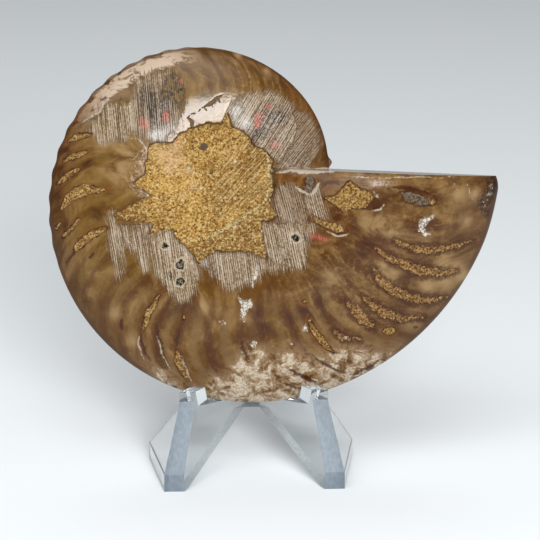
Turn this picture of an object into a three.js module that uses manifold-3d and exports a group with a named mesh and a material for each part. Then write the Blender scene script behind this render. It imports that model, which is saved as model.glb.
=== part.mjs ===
// Half of a cut and polished fossil ammonite, leaning on a clear one-piece easel.
// Millimetres, +Z up, the face of the shell towards -Y, +X to the right of someone who looks at it.
// The shell is one cemented stone: the whorl grows as a logarithmic spiral, and its umbilicus
// is filled with sandstone. The easel is one moulding with two pages, a spine and two side feet.

import * as THREE from 'three';
import { ParametricGeometry } from 'three/addons/geometries/ParametricGeometry.js';
import { mergeVertices } from 'three/addons/utils/BufferGeometryUtils.js';
import Module from 'manifold-3d';

const wasm = await Module();
wasm.setup();

const { degToRad, radToDeg, lerp, smoothstep } = THREE.MathUtils;
const TURN = 2 * Math.PI;

// How the shell stands: it leans back on the easel, and its lowest edge sits in the two notches.
const LEAN = degToRad(10);
const REST = new THREE.Vector3(0, 14.6, 22.5); // a point of the cut back, at the notches
const GAP = 0.3; // clearance between the stone and the easel

// Growth of the shell, seen square to the cut back, with the spiral's centre at 0, 0.
const CENTRE = { u: -8.1, v: 61.5 }; // the spiral's centre, to the right of and up the back from REST
const START_RADIUS = 29.4; // radius of the spiral at angle 0
const GROWTH = 0.1577; // growth per radian, 2.7 times in a whole turn
const WHOLE_TURN_GROWTH = 2.7;
const SWELL = 0.26; // three slow swells of the outline
const SWELL_ANGLE = degToRad(42);
const RIB_COUNT = 45; // ribs in a whole turn
const RIB_NOTCH = 0.2; // ribs that polishing left at the upper left rim
const RIBBED = { from: 85, full: 120, fading: 190, to: 215 }; // degrees around the spiral
const MOUTH_TURN = degToRad(345); // the outline turns in a little from here to the ground end
const MOUTH_PULL = 0.65;
const CORNER = { from: 357.5, to: 361, cut: 1.4 }; // degrees and depth of the worn corner at the ground end

// The ground end is one flat cut, which passes the spiral's centre at this distance and slope.
const END_OFFSET = 5.2;
const END_SLOPE = degToRad(3);

// Half section of the whorl, as parts of the outline's radius.
const HALF_BREADTH = 0.19; // highest point of the flank
const CREST = 0.42; // where that highest point lies
const UMBILICAL_DROP = 1.27; // how fast the flank falls from the crest towards the centre
const FLANK_FULLNESS = 0.72; // 0.5 would be a quarter ellipse from the crest to the rim, 1 a parabola
const RIM_WALL = 1.2; // upright edge that is left at the venter

// Sandstone fill of the umbilicus: its ragged edge as angle in degrees and radius.
const FILL_EDGE = [
  [25, 15.4], [35, 15.1], [52, 13.6], [63, 15.3], [79, 15.9], [86, 19.5], [92, 16.7], [108, 17.3],
  [119, 17.5], [130, 18.3], [139, 17.7], [151, 22.9], [161, 22.0], [172, 21.6], [180, 25.2], [184, 21.9],
  [188, 19.8], [195, 31.4], [202, 29.4], [209, 21.6], [215, 26.0], [221, 18.7], [230, 19.4], [245, 20.4],
  [253, 22.9], [258, 19.4], [264, 18.3], [278, 18.6], [292, 19.9], [301, 24.4], [306, 19.1], [315, 14.6],
  [330, 17.6], [337, 13.8], [357, 14.3], [368, 13.9],
];
const FILL_DROP = 0.7; // the fill lies this much below the flank
const FILL_FLOOR = 6.0; // height of the fill at the spiral's centre
const SCOOP_RADIUS = 16; // the fill follows the flank from here outward
const SCOOP_BOTTOM = 2.4; // radius of the scoop's level bottom
const SCOOP_LEVELLED = 0.88; // part of the turn after which the fill comes down to the early whorl
const FILL_LUMP = 0.35; // lumps of the weathered sandstone
const EDGE_WIDTH = 0.3; // width of the ragged edge's little wall

// Fineness of the shell's facets.
const SECTORS = 180;
const FILL_RINGS = 7;
const FLANK_RINGS = 13;
const END_PASSES = 20; // repeats that find where the ground end meets a curve

// The easel. Its profile is drawn from the side, with y to the back and z up.
const PAGE_WIDTH = 4.4; // thickness of a page across the front
const PAGE_FRONT = 22.0; // middle of a page's front face from the easel's middle
const PAGE_TURN = 0.746; // how much a page closes in for each millimetre to the back
const FOOT_HEIGHT = 5.0;
const PRONG = { front: 4.5, root: 25.1, top: 28.0, back: 8.2 };
const SEAT_DEPTH = 5.3; // length of the notch's floor
const SEAT_LEVEL = -0.85; // the floor below REST, measured along the back
const BACKREST = 30; // length of the backrest above REST
const HORN = 4.0; // depth of a page's top
const SPINE = { front: 23.6, back: 29.2, bottom: 16.5, shoulder: 24 };
const ARCH_START = 0.8;
const WING = { thickness: 1.4, outer: 25.4, splay: 0.167, lean: 0.27, length: 26.5, tip: 23.4 };

// The shell's outline and section

/** Radius of the shell at an angle, in radians from the early end, without its ribs. */
function smoothRadius(angle) {
  const spiral = START_RADIUS * Math.exp(GROWTH * angle);
  const swell = SWELL * Math.cos(3 * angle - SWELL_ANGLE);
  const mouth = smoothstep(angle, MOUTH_TURN, TURN) * MOUTH_PULL;
  const intoCorner = (radToDeg(angle) - CORNER.from) / (CORNER.to - CORNER.from);
  return spiral + swell - mouth - CORNER.cut * Math.max(intoCorner, 0) ** 2;
}

/** Radius of the outline, with the low notches of the ribs at the upper left. */
function outlineRadius(angle) {
  const degrees = radToDeg(angle);
  const rising = smoothstep(degrees, RIBBED.from, RIBBED.full);
  const fading = smoothstep(degrees, RIBBED.fading, RIBBED.to);
  const notch = RIB_NOTCH * rising * (1 - fading) * Math.cos(RIB_COUNT * angle);
  return smoothRadius(angle) + notch;
}

/** Angle at which the ground end crosses a radius. */
function endAngle(radius) {
  return Math.asin(END_OFFSET / radius) - END_SLOPE;
}

/** Where the ground end meets the outline, early (turns 0) or late (turns 1). */
function endRadius(turns) {
  let radius = turns === 0 ? START_RADIUS : START_RADIUS * WHOLE_TURN_GROWTH;
  for (let pass = 0; pass < END_PASSES; pass += 1) {
    radius = outlineRadius(endAngle(radius) + turns * TURN);
  }
  return radius;
}

/** Radius of the fill's ragged edge at an angle, straight from point to point. */
function fillRadius(angle) {
  const first = FILL_EDGE[0][0];
  const degrees = first + THREE.MathUtils.euclideanModulo(radToDeg(angle) - first, 360);
  const points = [...FILL_EDGE, [first + 360, FILL_EDGE[0][1]]];
  const next = points.findIndex(([at]) => at >= degrees);
  const [fromAngle, fromRadius] = points[Math.max(next - 1, 0)];
  const [toAngle, toRadius] = points[Math.max(next, 1)];
  return lerp(fromRadius, toRadius, (degrees - fromAngle) / (toAngle - fromAngle));
}

/** Height of the polished flank above the cut back. */
function flankHeight(radius, angle) {
  const outer = smoothRadius(angle);
  const part = Math.min(radius / outer, 1);
  const crest = HALF_BREADTH * outer;
  if (part < CREST) {
    return crest * (1 - UMBILICAL_DROP * ((CREST - part) / CREST) ** 2);
  }
  const outward = (part - CREST) / (1 - CREST);
  return RIM_WALL + (crest - RIM_WALL) * Math.max(1 - outward ** 2, 0) ** FLANK_FULLNESS;
}

const EARLY_RADIUS = endRadius(0);
const LATE_RADIUS = endRadius(1);

/** Radius at which the ground end leaves the fill. */
function findInnerEnd() {
  let radius = FILL_EDGE[0][1];
  for (let pass = 0; pass < END_PASSES; pass += 1) {
    radius = fillRadius(endAngle(radius));
  }
  return radius;
}

const INNER_END = findInnerEnd();

/** Height of the fill: a scoop that rises to just below the flank, and is level across the ground end. */
function fillHeight(radius, around) {
  const angle = around * TURN + endAngle(INNER_END);
  const late = flankHeight(Math.max(radius, SCOOP_RADIUS), angle) - FILL_DROP;
  const early = flankHeight(SCOOP_RADIUS, endAngle(INNER_END)) - FILL_DROP;
  const edge = lerp(late, early, smoothstep(around, SCOOP_LEVELLED, 1));
  return lerp(FILL_FLOOR, edge, smoothstep(radius, SCOOP_BOTTOM, SCOOP_RADIUS));
}

/** Smooth lumps, about 8 mm apart. */
function lumps(u, v) {
  const first = Math.sin(0.7 * u + 0.4 * v) * Math.sin(0.6 * v - 0.3 * u + 1);
  const second = Math.sin(0.4 * u - 0.9 * v + 2) * Math.sin(0.9 * u + 0.2 * v);
  return 0.6 * first + 0.4 * second;
}

// Rings of the shell, from the spiral's centre out to the foot of the rim

const EDGE_RING = FILL_RINGS;
const RIM_RING = FILL_RINGS + 1 + FLANK_RINGS;
const LAST_RING = RIM_RING + 1;

/** One point of the shell's front: around is 0 to 1 along the whorl, ring counts outward. */
function shellPoint(around, ring, target) {
  const turned = around * TURN;
  if (ring <= EDGE_RING) {
    const part = ring / EDGE_RING;
    const angle = turned + endAngle(INNER_END);
    const radius = part * fillRadius(angle);
    const u = radius * Math.cos(angle);
    const v = radius * Math.sin(angle);
    const rough = FILL_LUMP * lumps(u, v) * part * (1 - part) * 4;
    return target.set(u, v, fillHeight(radius, around) + rough);
  }
  const step = Math.min((ring - EDGE_RING - 1) / FLANK_RINGS, 1);
  const eased = Math.sin((step * Math.PI) / 2);
  const endRim = lerp(EARLY_RADIUS, LATE_RADIUS, around);
  const rim = outlineRadius(turned + endAngle(endRim));
  const inner = fillRadius(turned + endAngle(INNER_END)) + EDGE_WIDTH;
  const radius = lerp(inner, rim, eased);
  const angle = turned + endAngle(lerp(INNER_END + EDGE_WIDTH, endRim, eased));
  const height = ring === LAST_RING ? 0 : flankHeight(radius, angle);
  return target.set(radius * Math.cos(angle), radius * Math.sin(angle), height);
}

/** Triangles over a flat loop of points, facing along a direction. */
function flatFace(loop, across, up) {
  const flat = loop.map((point) => new THREE.Vector2(point.dot(across), point.dot(up)));
  const faces = THREE.ShapeUtils.triangulateShape(flat, []);
  return faces.flatMap(([a, b, c]) => {
    const turned = THREE.ShapeUtils.area([flat[a], flat[b], flat[c]]) < 0;
    return turned ? [loop[a], loop[c], loop[b]] : [loop[a], loop[b], loop[c]];
  });
}

/** Joins corner points into one closed geometry, and drops triangles that have no area. */
function closedGeometry(corners) {
  const loose = new THREE.BufferGeometry().setFromPoints(corners);
  const merged = mergeVertices(loose, 1e-3);
  const index = merged.getIndex().array;
  const kept = [];
  for (let i = 0; i < index.length; i += 3) {
    const [a, b, c] = [index[i], index[i + 1], index[i + 2]];
    if (a !== b && b !== c && c !== a) {
      kept.push(a, b, c);
    }
  }
  merged.setIndex(kept);
  return merged;
}

/** The ammonite: front from the spiral's centre to the rim, flat cut back, flat ground end. */
function ammoniteGeometry() {
  const place = (outward, around, target) => shellPoint(around, Math.round(outward * LAST_RING), target);
  const front = new ParametricGeometry(place, LAST_RING, SECTORS).toNonIndexed();
  const position = front.getAttribute('position');
  const corners = [];
  for (let i = 0; i < position.count; i += 1) {
    corners.push(new THREE.Vector3().fromBufferAttribute(position, i));
  }

  const rimFoot = [];
  for (let i = 0; i <= SECTORS; i += 1) {
    rimFoot.push(shellPoint(i / SECTORS, LAST_RING, new THREE.Vector3()));
  }
  const back = flatFace(rimFoot, new THREE.Vector3(-1, 0, 0), new THREE.Vector3(0, 1, 0));

  const end = [];
  for (let ring = EDGE_RING; ring <= LAST_RING; ring += 1) {
    end.push(shellPoint(1, ring, new THREE.Vector3()));
  }
  for (let ring = LAST_RING; ring > EDGE_RING; ring -= 1) {
    end.push(shellPoint(0, ring, new THREE.Vector3()));
  }
  const along = new THREE.Vector3(-Math.cos(END_SLOPE), Math.sin(END_SLOPE), 0);
  const groundEnd = flatFace(end, along, new THREE.Vector3(0, 0, 1));
  return closedGeometry([...corners, ...back, ...groundEnd]);
}

function makeAmmonite() {
  const stone = new THREE.MeshStandardMaterial({ color: 0x8a6a48, roughness: 0.25, metalness: 0 });
  const ammonite = new THREE.Mesh(ammoniteGeometry(), stone);
  ammonite.name = 'ammonite';
  ammonite.rotation.x = Math.PI / 2 - LEAN;
  ammonite.position.copy(upTheBack(CENTRE.v, 0)).add(new THREE.Vector3(CENTRE.u, 0, 0));
  return ammonite;
}

// The easel

/** A point of the leaning back plane: along it from REST, and out of it to the front. */
function upTheBack(along, outward) {
  const up = new THREE.Vector3(0, Math.sin(LEAN), Math.cos(LEAN));
  const out = new THREE.Vector3(0, -Math.cos(LEAN), Math.sin(LEAN));
  return REST.clone().addScaledVector(up, along).addScaledVector(out, outward);
}

/** A plate with a side profile and a thickness across x, whose x is then moved by a rule. */
function plate(profile, thickness, shift) {
  const shape = new THREE.Shape(profile.map(([y, z]) => new THREE.Vector2(y, z)));
  const geometry = new THREE.ExtrudeGeometry(shape, { depth: thickness, bevelEnabled: false });
  const upright = new THREE.Matrix4().set(0, 0, 1, -thickness / 2, 1, 0, 0, 0, 0, 1, 0, 0, 0, 0, 0, 1);
  geometry.applyMatrix4(upright);
  const position = geometry.getAttribute('position');
  for (let i = 0; i < position.count; i += 1) {
    position.setX(i, position.getX(i) + shift(position.getY(i), position.getZ(i)));
  }
  return solid(geometry);
}

function solid(geometry) {
  geometry.deleteAttribute('normal');
  geometry.deleteAttribute('uv');
  const merged = mergeVertices(geometry, 1e-4);
  return new wasm.Manifold(new wasm.Mesh({
    numProp: 3,
    vertProperties: new Float32Array(merged.getAttribute('position').array),
    triVerts: new Uint32Array(merged.getIndex().array),
  }));
}

function fromSolid(manifold) {
  const mesh = manifold.getMesh();
  const geometry = new THREE.BufferGeometry();
  geometry.setAttribute('position', new THREE.BufferAttribute(mesh.vertProperties, 3));
  geometry.setIndex(new THREE.BufferAttribute(mesh.triVerts, 1));
  return geometry;
}

/** Side profile of a page: foot, leaning strip, prong, notch, backrest, spine and arch. */
function pageProfile() {
  const corner = upTheBack(SEAT_LEVEL, -GAP);
  const seatFront = upTheBack(SEAT_LEVEL, SEAT_DEPTH - GAP);
  const top = upTheBack(BACKREST, -GAP);
  return [
    [0, 0],
    [ARCH_START, 0],
    [SPINE.front, SPINE.bottom],
    [SPINE.back, SPINE.bottom],
    [SPINE.back, SPINE.shoulder],
    [top.y + HORN, top.z],
    [top.y, top.z],
    [corner.y, corner.z],
    [seatFront.y, seatFront.z],
    [PRONG.back, PRONG.top],
    [PRONG.front, PRONG.top],
    [PRONG.front, PRONG.root],
    [0, FOOT_HEIGHT],
  ];
}

/** One side of the easel: its page, and the thin wing that runs back to the rear foot. */
function easelSide(side) {
  const page = plate(pageProfile(), PAGE_WIDTH, (y) => side * (PAGE_FRONT - PAGE_TURN * y));
  const wingX = (y, z) => {
    const middle = WING.outer - WING.thickness / 2;
    return side * (middle + WING.splay * y - WING.lean * Math.max(z - FOOT_HEIGHT, 0));
  };
  const rail = [[0, 0], [WING.length, 0], [WING.length, FOOT_HEIGHT], [0, FOOT_HEIGHT]];
  const tipY = (PRONG.front * (WING.tip - FOOT_HEIGHT)) / (PRONG.root - FOOT_HEIGHT);
  const web = [[0, FOOT_HEIGHT], [WING.length, FOOT_HEIGHT], [tipY, WING.tip]];
  return page.add(plate(rail, WING.thickness, wingX)).add(plate(web, WING.thickness, wingX));
}

function makeStand() {
  const spineProfile = [
    [SPINE.front, SPINE.bottom],
    [SPINE.back, SPINE.bottom],
    [SPINE.back, SPINE.shoulder],
    [SPINE.front, upTheBack(BACKREST, -GAP).z],
  ];
  const spine = plate(spineProfile, PAGE_WIDTH, () => 0);
  const easel = easelSide(-1).add(easelSide(1)).add(spine);
  const acrylic = new THREE.MeshStandardMaterial({ color: 0xdfe8ea, roughness: 0.05, metalness: 0 });
  const stand = new THREE.Mesh(fromSolid(easel), acrylic);
  stand.name = 'stand';
  return stand;
}

// The whole piece, with the middle of its base at the origin

const fossil = new THREE.Group();
fossil.add(makeAmmonite(), makeStand());
fossil.updateMatrixWorld(true);
const middle = new THREE.Box3().setFromObject(fossil, true).getCenter(new THREE.Vector3());
fossil.position.set(-middle.x, -middle.y, 0);

export default fossil;
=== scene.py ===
# %% [markdown]
# # Half of a polished ammonite on a clear easel
# The real thing is a fossil shell that was sawn in half, ground at its mouth and polished.
# Its umbilicus, the hollow in the middle of the coil, is packed with golden sandstone, and
# sanding has left dull, scratched flats around it. It leans on a small acrylic easel.
# The solids of both pieces come in as a fixed frame, and this lesson gives them their looks.

# %% Load the solids and keep their box
import math

import bmesh
import bpy
import numpy as np
from mathutils import Matrix, Vector, noise


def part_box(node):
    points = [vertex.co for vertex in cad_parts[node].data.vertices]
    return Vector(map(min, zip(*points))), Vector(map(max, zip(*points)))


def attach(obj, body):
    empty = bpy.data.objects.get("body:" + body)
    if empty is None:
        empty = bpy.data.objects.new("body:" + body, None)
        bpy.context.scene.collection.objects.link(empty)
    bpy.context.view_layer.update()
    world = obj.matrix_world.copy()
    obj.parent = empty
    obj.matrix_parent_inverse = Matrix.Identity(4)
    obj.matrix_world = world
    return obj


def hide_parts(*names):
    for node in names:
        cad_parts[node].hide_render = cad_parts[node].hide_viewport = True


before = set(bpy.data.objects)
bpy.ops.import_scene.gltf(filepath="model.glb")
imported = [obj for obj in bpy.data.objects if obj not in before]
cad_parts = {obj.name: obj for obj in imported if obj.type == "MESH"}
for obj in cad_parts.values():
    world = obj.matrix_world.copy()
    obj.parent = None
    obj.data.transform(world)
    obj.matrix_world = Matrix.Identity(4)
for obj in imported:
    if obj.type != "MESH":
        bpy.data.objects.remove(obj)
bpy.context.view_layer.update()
MM = 0.001
print("solids:", sorted(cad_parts))

# %% [markdown]
# ## The camera
# A long lens looks down a little from the front, slightly from the left. A camera can be
# turned with an empty and a constraint, but a direction worked out once and turned into a
# rotation leaves nothing live in the file.

# %% Place the camera
AIM = Vector((-1.8, -3.9, 61.0)) * MM
CAMERA_PLACE = (-2.7, 15.9, 600 * MM)  # turn and rise in degrees, and distance
LENS = 143.2
SENSOR_WIDTH = 36
NEAREST_SEEN = 0.01


def put_in_scene(name, data):
    """A new object, at the origin, unturned and unscaled."""
    made = bpy.data.objects.new(name, data)
    bpy.context.scene.collection.objects.link(made)
    return made


def face_object(thing, turn, rise, distance):
    """Stands a thing at this turn and rise around the object, and points it there."""
    level = math.cos(math.radians(rise))
    across = math.sin(math.radians(turn)) * level
    forward = -math.cos(math.radians(turn)) * level
    thing.location = AIM + Vector((across, forward, math.sin(math.radians(rise)))) * distance
    thing.rotation_euler = (AIM - thing.location).to_track_quat("-Z", "Y").to_euler()


camera = put_in_scene("camera", bpy.data.cameras.new("camera"))
camera.data.lens = LENS
camera.data.sensor_width = SENSOR_WIDTH
camera.data.clip_start = NEAREST_SEEN
face_object(camera, *CAMERA_PLACE)
bpy.context.scene.camera = camera
print("camera at", [round(x / MM) for x in camera.location], "mm")

# %% [markdown]
# ## The growth of the shell
# An ammonite adds to its mouth at a steady rate, so its outline is a logarithmic spiral.
# All heights and marks below are given on the flat cut back: u runs to the right, v up, and
# w out of the cut towards the viewer, in millimetres from the spiral's centre. Formulas on
# whole arrays are used, because they place a hundred thousand points in a moment.

# %% The spiral and its section
LEAN = math.radians(10)
SPIRAL_CENTRE = Vector((-14.783, 9.332, 83.066)) * MM
TURN = 2 * math.pi
START_RADIUS = 29.4
GROWTH = 0.1577
SWELL = 0.26
SWELL_ANGLE = math.radians(42)
MOUTH_TURN = math.radians(345)
MOUTH_PULL = 0.65
CORNER = (357.5, 361, 1.4)  # degrees from and to, and depth of the worn corner at the ground end
END_OFFSET = 5.2
END_SLOPE = math.radians(3)
HALF_BREADTH = 0.19
CREST = 0.42
UMBILICAL_DROP = 1.27
FLANK_FULLNESS = 0.72
RIM_WALL = 1.2
RIB_COUNT = 45
RIB_NOTCH = 0.2
RIM_CLEARANCE = 0.03
RIBS_APPEAR = (85, 120)  # degrees between which the worn ribs begin, and between which they end
RIBS_FADE = (190, 215)
NUB = (10.0, 2.5, 1.1)  # where a chip stands out of the early end: degrees, width and height


def smooth(value, low, high):
    """0 below low, 1 above high, and an S-curve between."""
    part = np.clip((value - low) / (high - low), 0, 1)
    return part * part * (3 - 2 * part)


def lerp(first, second, part):
    return first + (second - first) * part


def rim_radius(angle):
    """Radius of the shell's outline at an angle, in radians from the early end."""
    swell = SWELL * np.cos(3 * angle - SWELL_ANGLE)
    mouth = MOUTH_PULL * smooth(angle, MOUTH_TURN, TURN)
    corner = CORNER[2] * np.maximum((np.degrees(angle) - CORNER[0]) / (CORNER[1] - CORNER[0]), 0) ** 2
    return START_RADIUS * np.exp(GROWTH * angle) + swell - mouth - corner


def worn_rim_radius(angle):
    """The outline with what polishing left of the ribs, and the chipped nub at the early end."""
    degrees = np.degrees(angle)
    ribbed = smooth(degrees, *RIBS_APPEAR) * (1 - smooth(degrees, *RIBS_FADE))
    nub = NUB[2] * np.exp(-((degrees - NUB[0]) / NUB[1]) ** 2)
    return rim_radius(angle) + RIB_NOTCH * ribbed * np.cos(RIB_COUNT * angle) + nub - RIM_CLEARANCE


def end_angle(radius):
    """Angle at which the flat ground end crosses a radius."""
    return np.arcsin(END_OFFSET / radius) - END_SLOPE


def flank_height(radius, angle):
    """Height of the polished flank above the cut back."""
    outer = rim_radius(angle)
    part = np.minimum(radius / outer, 1)
    crest = HALF_BREADTH * outer
    inward = crest * (1 - UMBILICAL_DROP * ((CREST - part) / CREST) ** 2)
    round_off = np.maximum(1 - (np.maximum(part - CREST, 0) / (1 - CREST)) ** 2, 0) ** FLANK_FULLNESS
    return np.where(part < CREST, inward, RIM_WALL + (crest - RIM_WALL) * round_off)


print("outline radius, first and last:", round(float(rim_radius(0.0)), 1), round(float(rim_radius(TURN)), 1))

# %% [markdown]
# ## The sandstone fill and its ragged edge
# The fill's edge is star-shaped, because it followed the broken ends of the ribs. It is
# given as angle and radius at its corners. Small waves with whole numbers of turns make it
# ragged and still let it close on itself.

# %% The edge of the fill
FILL_EDGE = [
    (25, 15.4), (35, 15.1), (52, 13.6), (63, 15.3), (79, 15.9), (86, 19.5), (92, 16.7),
    (108, 17.3), (119, 17.5), (130, 18.3), (139, 17.7), (151, 22.9), (161, 22.0), (172, 21.6),
    (180, 25.2), (184, 21.9), (188, 19.8), (195, 31.4), (202, 29.4), (209, 21.6), (215, 26.0),
    (221, 18.7), (230, 19.4), (245, 20.4), (253, 22.9), (258, 19.4), (264, 18.3), (278, 18.6),
    (292, 19.9), (301, 24.4), (306, 19.1), (315, 14.6), (330, 17.6), (337, 13.8), (357, 14.3),
    (368, 13.9),
]
EDGE_WAVES = ((23, 0.16), (41, 0.14), (67, 0.1))
FILL_DROP = 0.7
FILL_FLOOR = 6.0
SCOOP_RADIUS = 16
SCOOP_BOTTOM = 2.4
SCOOP_LEVELLED = 0.88  # from here around, its edge comes back to the height it began with
EDGE_WIDTH = 0.3


def fill_radius(angle):
    """Radius of the fill's ragged edge."""
    first = FILL_EDGE[0][0]
    degrees = first + np.mod(np.degrees(angle) - first, 360)
    corners = [*FILL_EDGE, (first + 360, FILL_EDGE[0][1])]
    straight = np.interp(degrees, [at for at, _ in corners], [out for _, out in corners])
    return straight + sum(size * np.sin(count * angle + count) for count, size in EDGE_WAVES)


def settle(start, rule, passes=30):
    """Repeats a rule until its value no longer changes."""
    value = start
    for _ in range(passes):
        value = float(rule(value))
    return value


INNER_END = settle(SCOOP_RADIUS, lambda r: fill_radius(end_angle(r)))
EARLY_END = settle(START_RADIUS, lambda r: worn_rim_radius(end_angle(r)))
LATE_END = settle(START_RADIUS * math.exp(GROWTH * TURN), lambda r: worn_rim_radius(end_angle(r) + TURN))


def fill_height(radius, around):
    """Height of the fill: a scoop that rises to just below the flank."""
    angle = around * TURN + end_angle(INNER_END)
    late = flank_height(np.maximum(radius, SCOOP_RADIUS), angle) - FILL_DROP
    early = flank_height(SCOOP_RADIUS, end_angle(INNER_END)) - FILL_DROP
    edge = lerp(late, early, smooth(around, SCOOP_LEVELLED, 1))
    return lerp(FILL_FLOOR, edge, smooth(radius, SCOOP_BOTTOM, SCOOP_RADIUS))


print("the ground end meets the fill, the early and the late rim at",
      [round(x, 1) for x in (INNER_END, EARLY_END, LATE_END)], "mm")

# %% [markdown]
# ## Marks on the polished face
# Sanding flats, sand-filled slits, pits, chalky flecks and stains have no rule behind them,
# so they are a few outlines in millimetres. A picture could hold them too, but outlines stay
# sharp at any size. Each becomes a distance that is positive inside the mark. A distance
# varies evenly, so it survives on a mesh, and the paint can cut a crisp edge from it.

# %% Outlines of the sanded flats
SANDED = [  # outline, direction of the scratches in degrees, tone from brown (0) to pale (1)
    ([(-36.9, 15), (-34.8, 18), (-33.6, 21.5), (-28, 22.8), (-24.5, 22), (-24.4, 15.5),
      (-27.5, 13.2), (-30.2, 12.3), (-34.8, 12.4)], 95, 0.9),
    ([(-24.8, 14.5), (-25, 22), (-23.9, 28.5), (-19.5, 30.8), (-13.5, 31.5), (-10, 28),
      (-11, 22), (-13.6, 15.5), (-16.5, 12.3), (-21, 12.8)], 94, 0.4),
    ([(2.8, 20.9), (6.5, 24.9), (13.6, 25.7), (17.6, 23.6), (20.4, 20.6), (21.5, 14), (17, 6),
      (13.4, 7.6), (8.4, 11.3), (4.2, 15.5)], 58, 0.6),
    ([(20.2, 19.9), (23.8, 19), (26.3, 15.6), (27.4, 11), (24, 4.4), (15.5, 4.3), (17.5, 8), (20.5, 14)],
     50, 0.15),
    ([(-32, -8.2), (-30.4, -7.6), (-29.9, -12), (-28.4, -19), (-28, -24), (-29.7, -25.4),
      (-30.6, -20)], 99, 0.75),
    ([(-30.3, -10.4), (-25, -11.4), (-19, -9.8), (-18.4, -12.2), (-20.6, -15.5), (-20.9, -24.2),
      (-22.4, -24), (-24, -19), (-26, -17), (-29.6, -18)], 99, 0.65),
    ([(-20.6, -14.6), (-15, -11.8), (-13.3, -12.6), (-12.3, -16), (-9.8, -16.6), (-8, -19),
      (-6.9, -24), (-7.9, -29), (-10, -32), (-13.2, -32.4), (-15.8, -28), (-18.5, -25)], 98, 0.9),
    ([(-4.3, -18.7), (7.4, -18.2), (12.8, -20.9), (19.2, -23), (10.6, -24.4), (9, -26.6), (1.9, -29.4),
      (-3, -25)], 97, 0.7),
    ([(14.4, -1), (19.6, 0), (22.6, -5.5), (22.4, -10.5), (15.4, -11), (13.4, -5)], 104, 0.35),
    ([(23, -1.6), (26.2, -0.2), (28.6, -10), (25.8, -9.6), (22.9, -6)], 106, 0.55),
    ([(9.8, -11), (16, -10.6), (24.8, -11.2), (23.4, -15.5), (22, -23), (13.6, -22.6), (11.6, -17.5)],
     101, 0.75),
]
print("sanded flats:", len(SANDED))

# %% Slits and patches
GOLDEN_SLITS = [  # middle line and greatest width
    ([(-42.9, 12.2), (-39.5, 13.7), (-36.1, 14)], 1.5),
    ([(-44.7, 6.4), (-41.2, 8.1), (-37.3, 9.4)], 1.6),
    ([(-46.5, 0), (-43, 2.8), (-39.6, 4.6)], 1.6),
    ([(-45.2, -6.9), (-42.5, -3), (-38.3, -1), (-32.2, -1)], 2.9),
    ([(-45, -15), (-42.4, -12.2), (-39.5, -8.9)], 1),
    ([(-47, -12.5), (-46.3, -11.4), (-45.3, -10.4)], 0.8),
    ([(-41.8, -18.7), (-38.5, -15.2), (-35.4, -13.2), (-32, -12)], 2.1),
    ([(-17.9, -30.6), (-20.9, -35.5), (-23, -41.5)], 1.5),
    ([(-10.9, -35.7), (-11.5, -37.7)], 0.8),
    ([(-13.4, -46.2), (-12.5, -50.5), (-10.2, -55.4)], 2.1),
    ([(23.3, -37.2), (25.1, -41), (27.5, -44.5), (30.8, -48)], 1.8),
    ([(21.8, -32.6), (23.1, -32.9)], 0.9),
    ([(44.6, -42), (48.4, -41.9)], 2.2),
]
SPECKLED_SLITS = [
    ([(47, -15.6), (52, -17.9), (56.9, -19.2), (63.7, -18.7), (70.6, -16.6)], 1.9),
    ([(41.8, -17.6), (47.2, -21.4), (55.3, -24.9), (60.9, -25.8), (66.5, -25.3)], 2.5),
    ([(41, -22.6), (43.3, -26.5), (46.2, -29.4), (51.5, -32.3), (56.8, -33.7), (63.6, -33.2)], 2.6),
    ([(38.9, -31.6), (42, -34.8), (45.6, -37.1), (50.5, -38.7), (56.6, -38.5)], 2.4),
    ([(34.4, -32.8), (38, -37), (42.4, -41.2)], 2.8),
    ([(30.5, -41.3), (33.5, -43.5), (38.5, -44.4)], 1.6),
]
GOLDEN_PATCHES = [
    [(27.4, -3.7), (30, -3.2), (31.8, -2), (33.4, -0.6), (35, 1), (36.8, -0.1), (37.9, -1.3), (40, -1.8),
     (41.5, -4), (40.1, -5.8), (38.6, -6.6), (36.2, -6.7), (33.1, -7.2), (31.2, -6.2), (29.8, -5)],
    [(25.2, -9), (27.6, -9.9), (30.6, -10.3), (33.2, -11.8), (33.4, -13), (31.2, -13.6), (28.4, -12),
     (25.8, -10.6)],
    [(55.8, -4.1), (57.7, -4.3), (59.6, -5.3), (58.2, -6.4), (55.8, -6.2)],
]
GREY_PATCHES = [
    [(48.9, -2.7), (51.7, -2.4), (57, -4.2), (57, -6.4), (54, -6.3), (50.7, -5)],
    [(22.8, 1.6), (24, 2.4), (25.4, 1.5), (25.2, -0.6), (24, -2.2), (23, -1)],
]
DARK_PATCHES = [
    [(41.6, -3.4), (44.2, -5.2), (43.6, -6.8), (40.6, -7.2), (38.8, -6.8), (40.4, -5.6)],
]
CHALK_PATCHES = [
    [(55.2, -9.6), (58.9, -8.7), (59.4, -9.7), (57, -10.9), (56.2, -12.6), (57.9, -14.3), (56.6, -15),
     (54.6, -13.4), (54.4, -11.2)],
    [(3.6, -31), (5.6, -32), (8, -31.8), (7.6, -34.6), (6, -36), (5.6, -38.2), (4.3, -37.4), (4.8, -34)],
    [(7, -44.6), (8.6, -43.4), (9.4, -43.8), (8.8, -45.8), (7.6, -45.9)],
    [(-21.8, -3.6), (-20.6, -2.4), (-19, -2.6), (-19.6, -3.9), (-21, -4.4)],
    [(21.4, -39.6), (22.6, -38.8), (23.4, -40.4), (23.2, -41.6), (21.9, -41.4)],
]
print("slits:", len(GOLDEN_SLITS), "golden,", len(SPECKLED_SLITS), "speckled")

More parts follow.
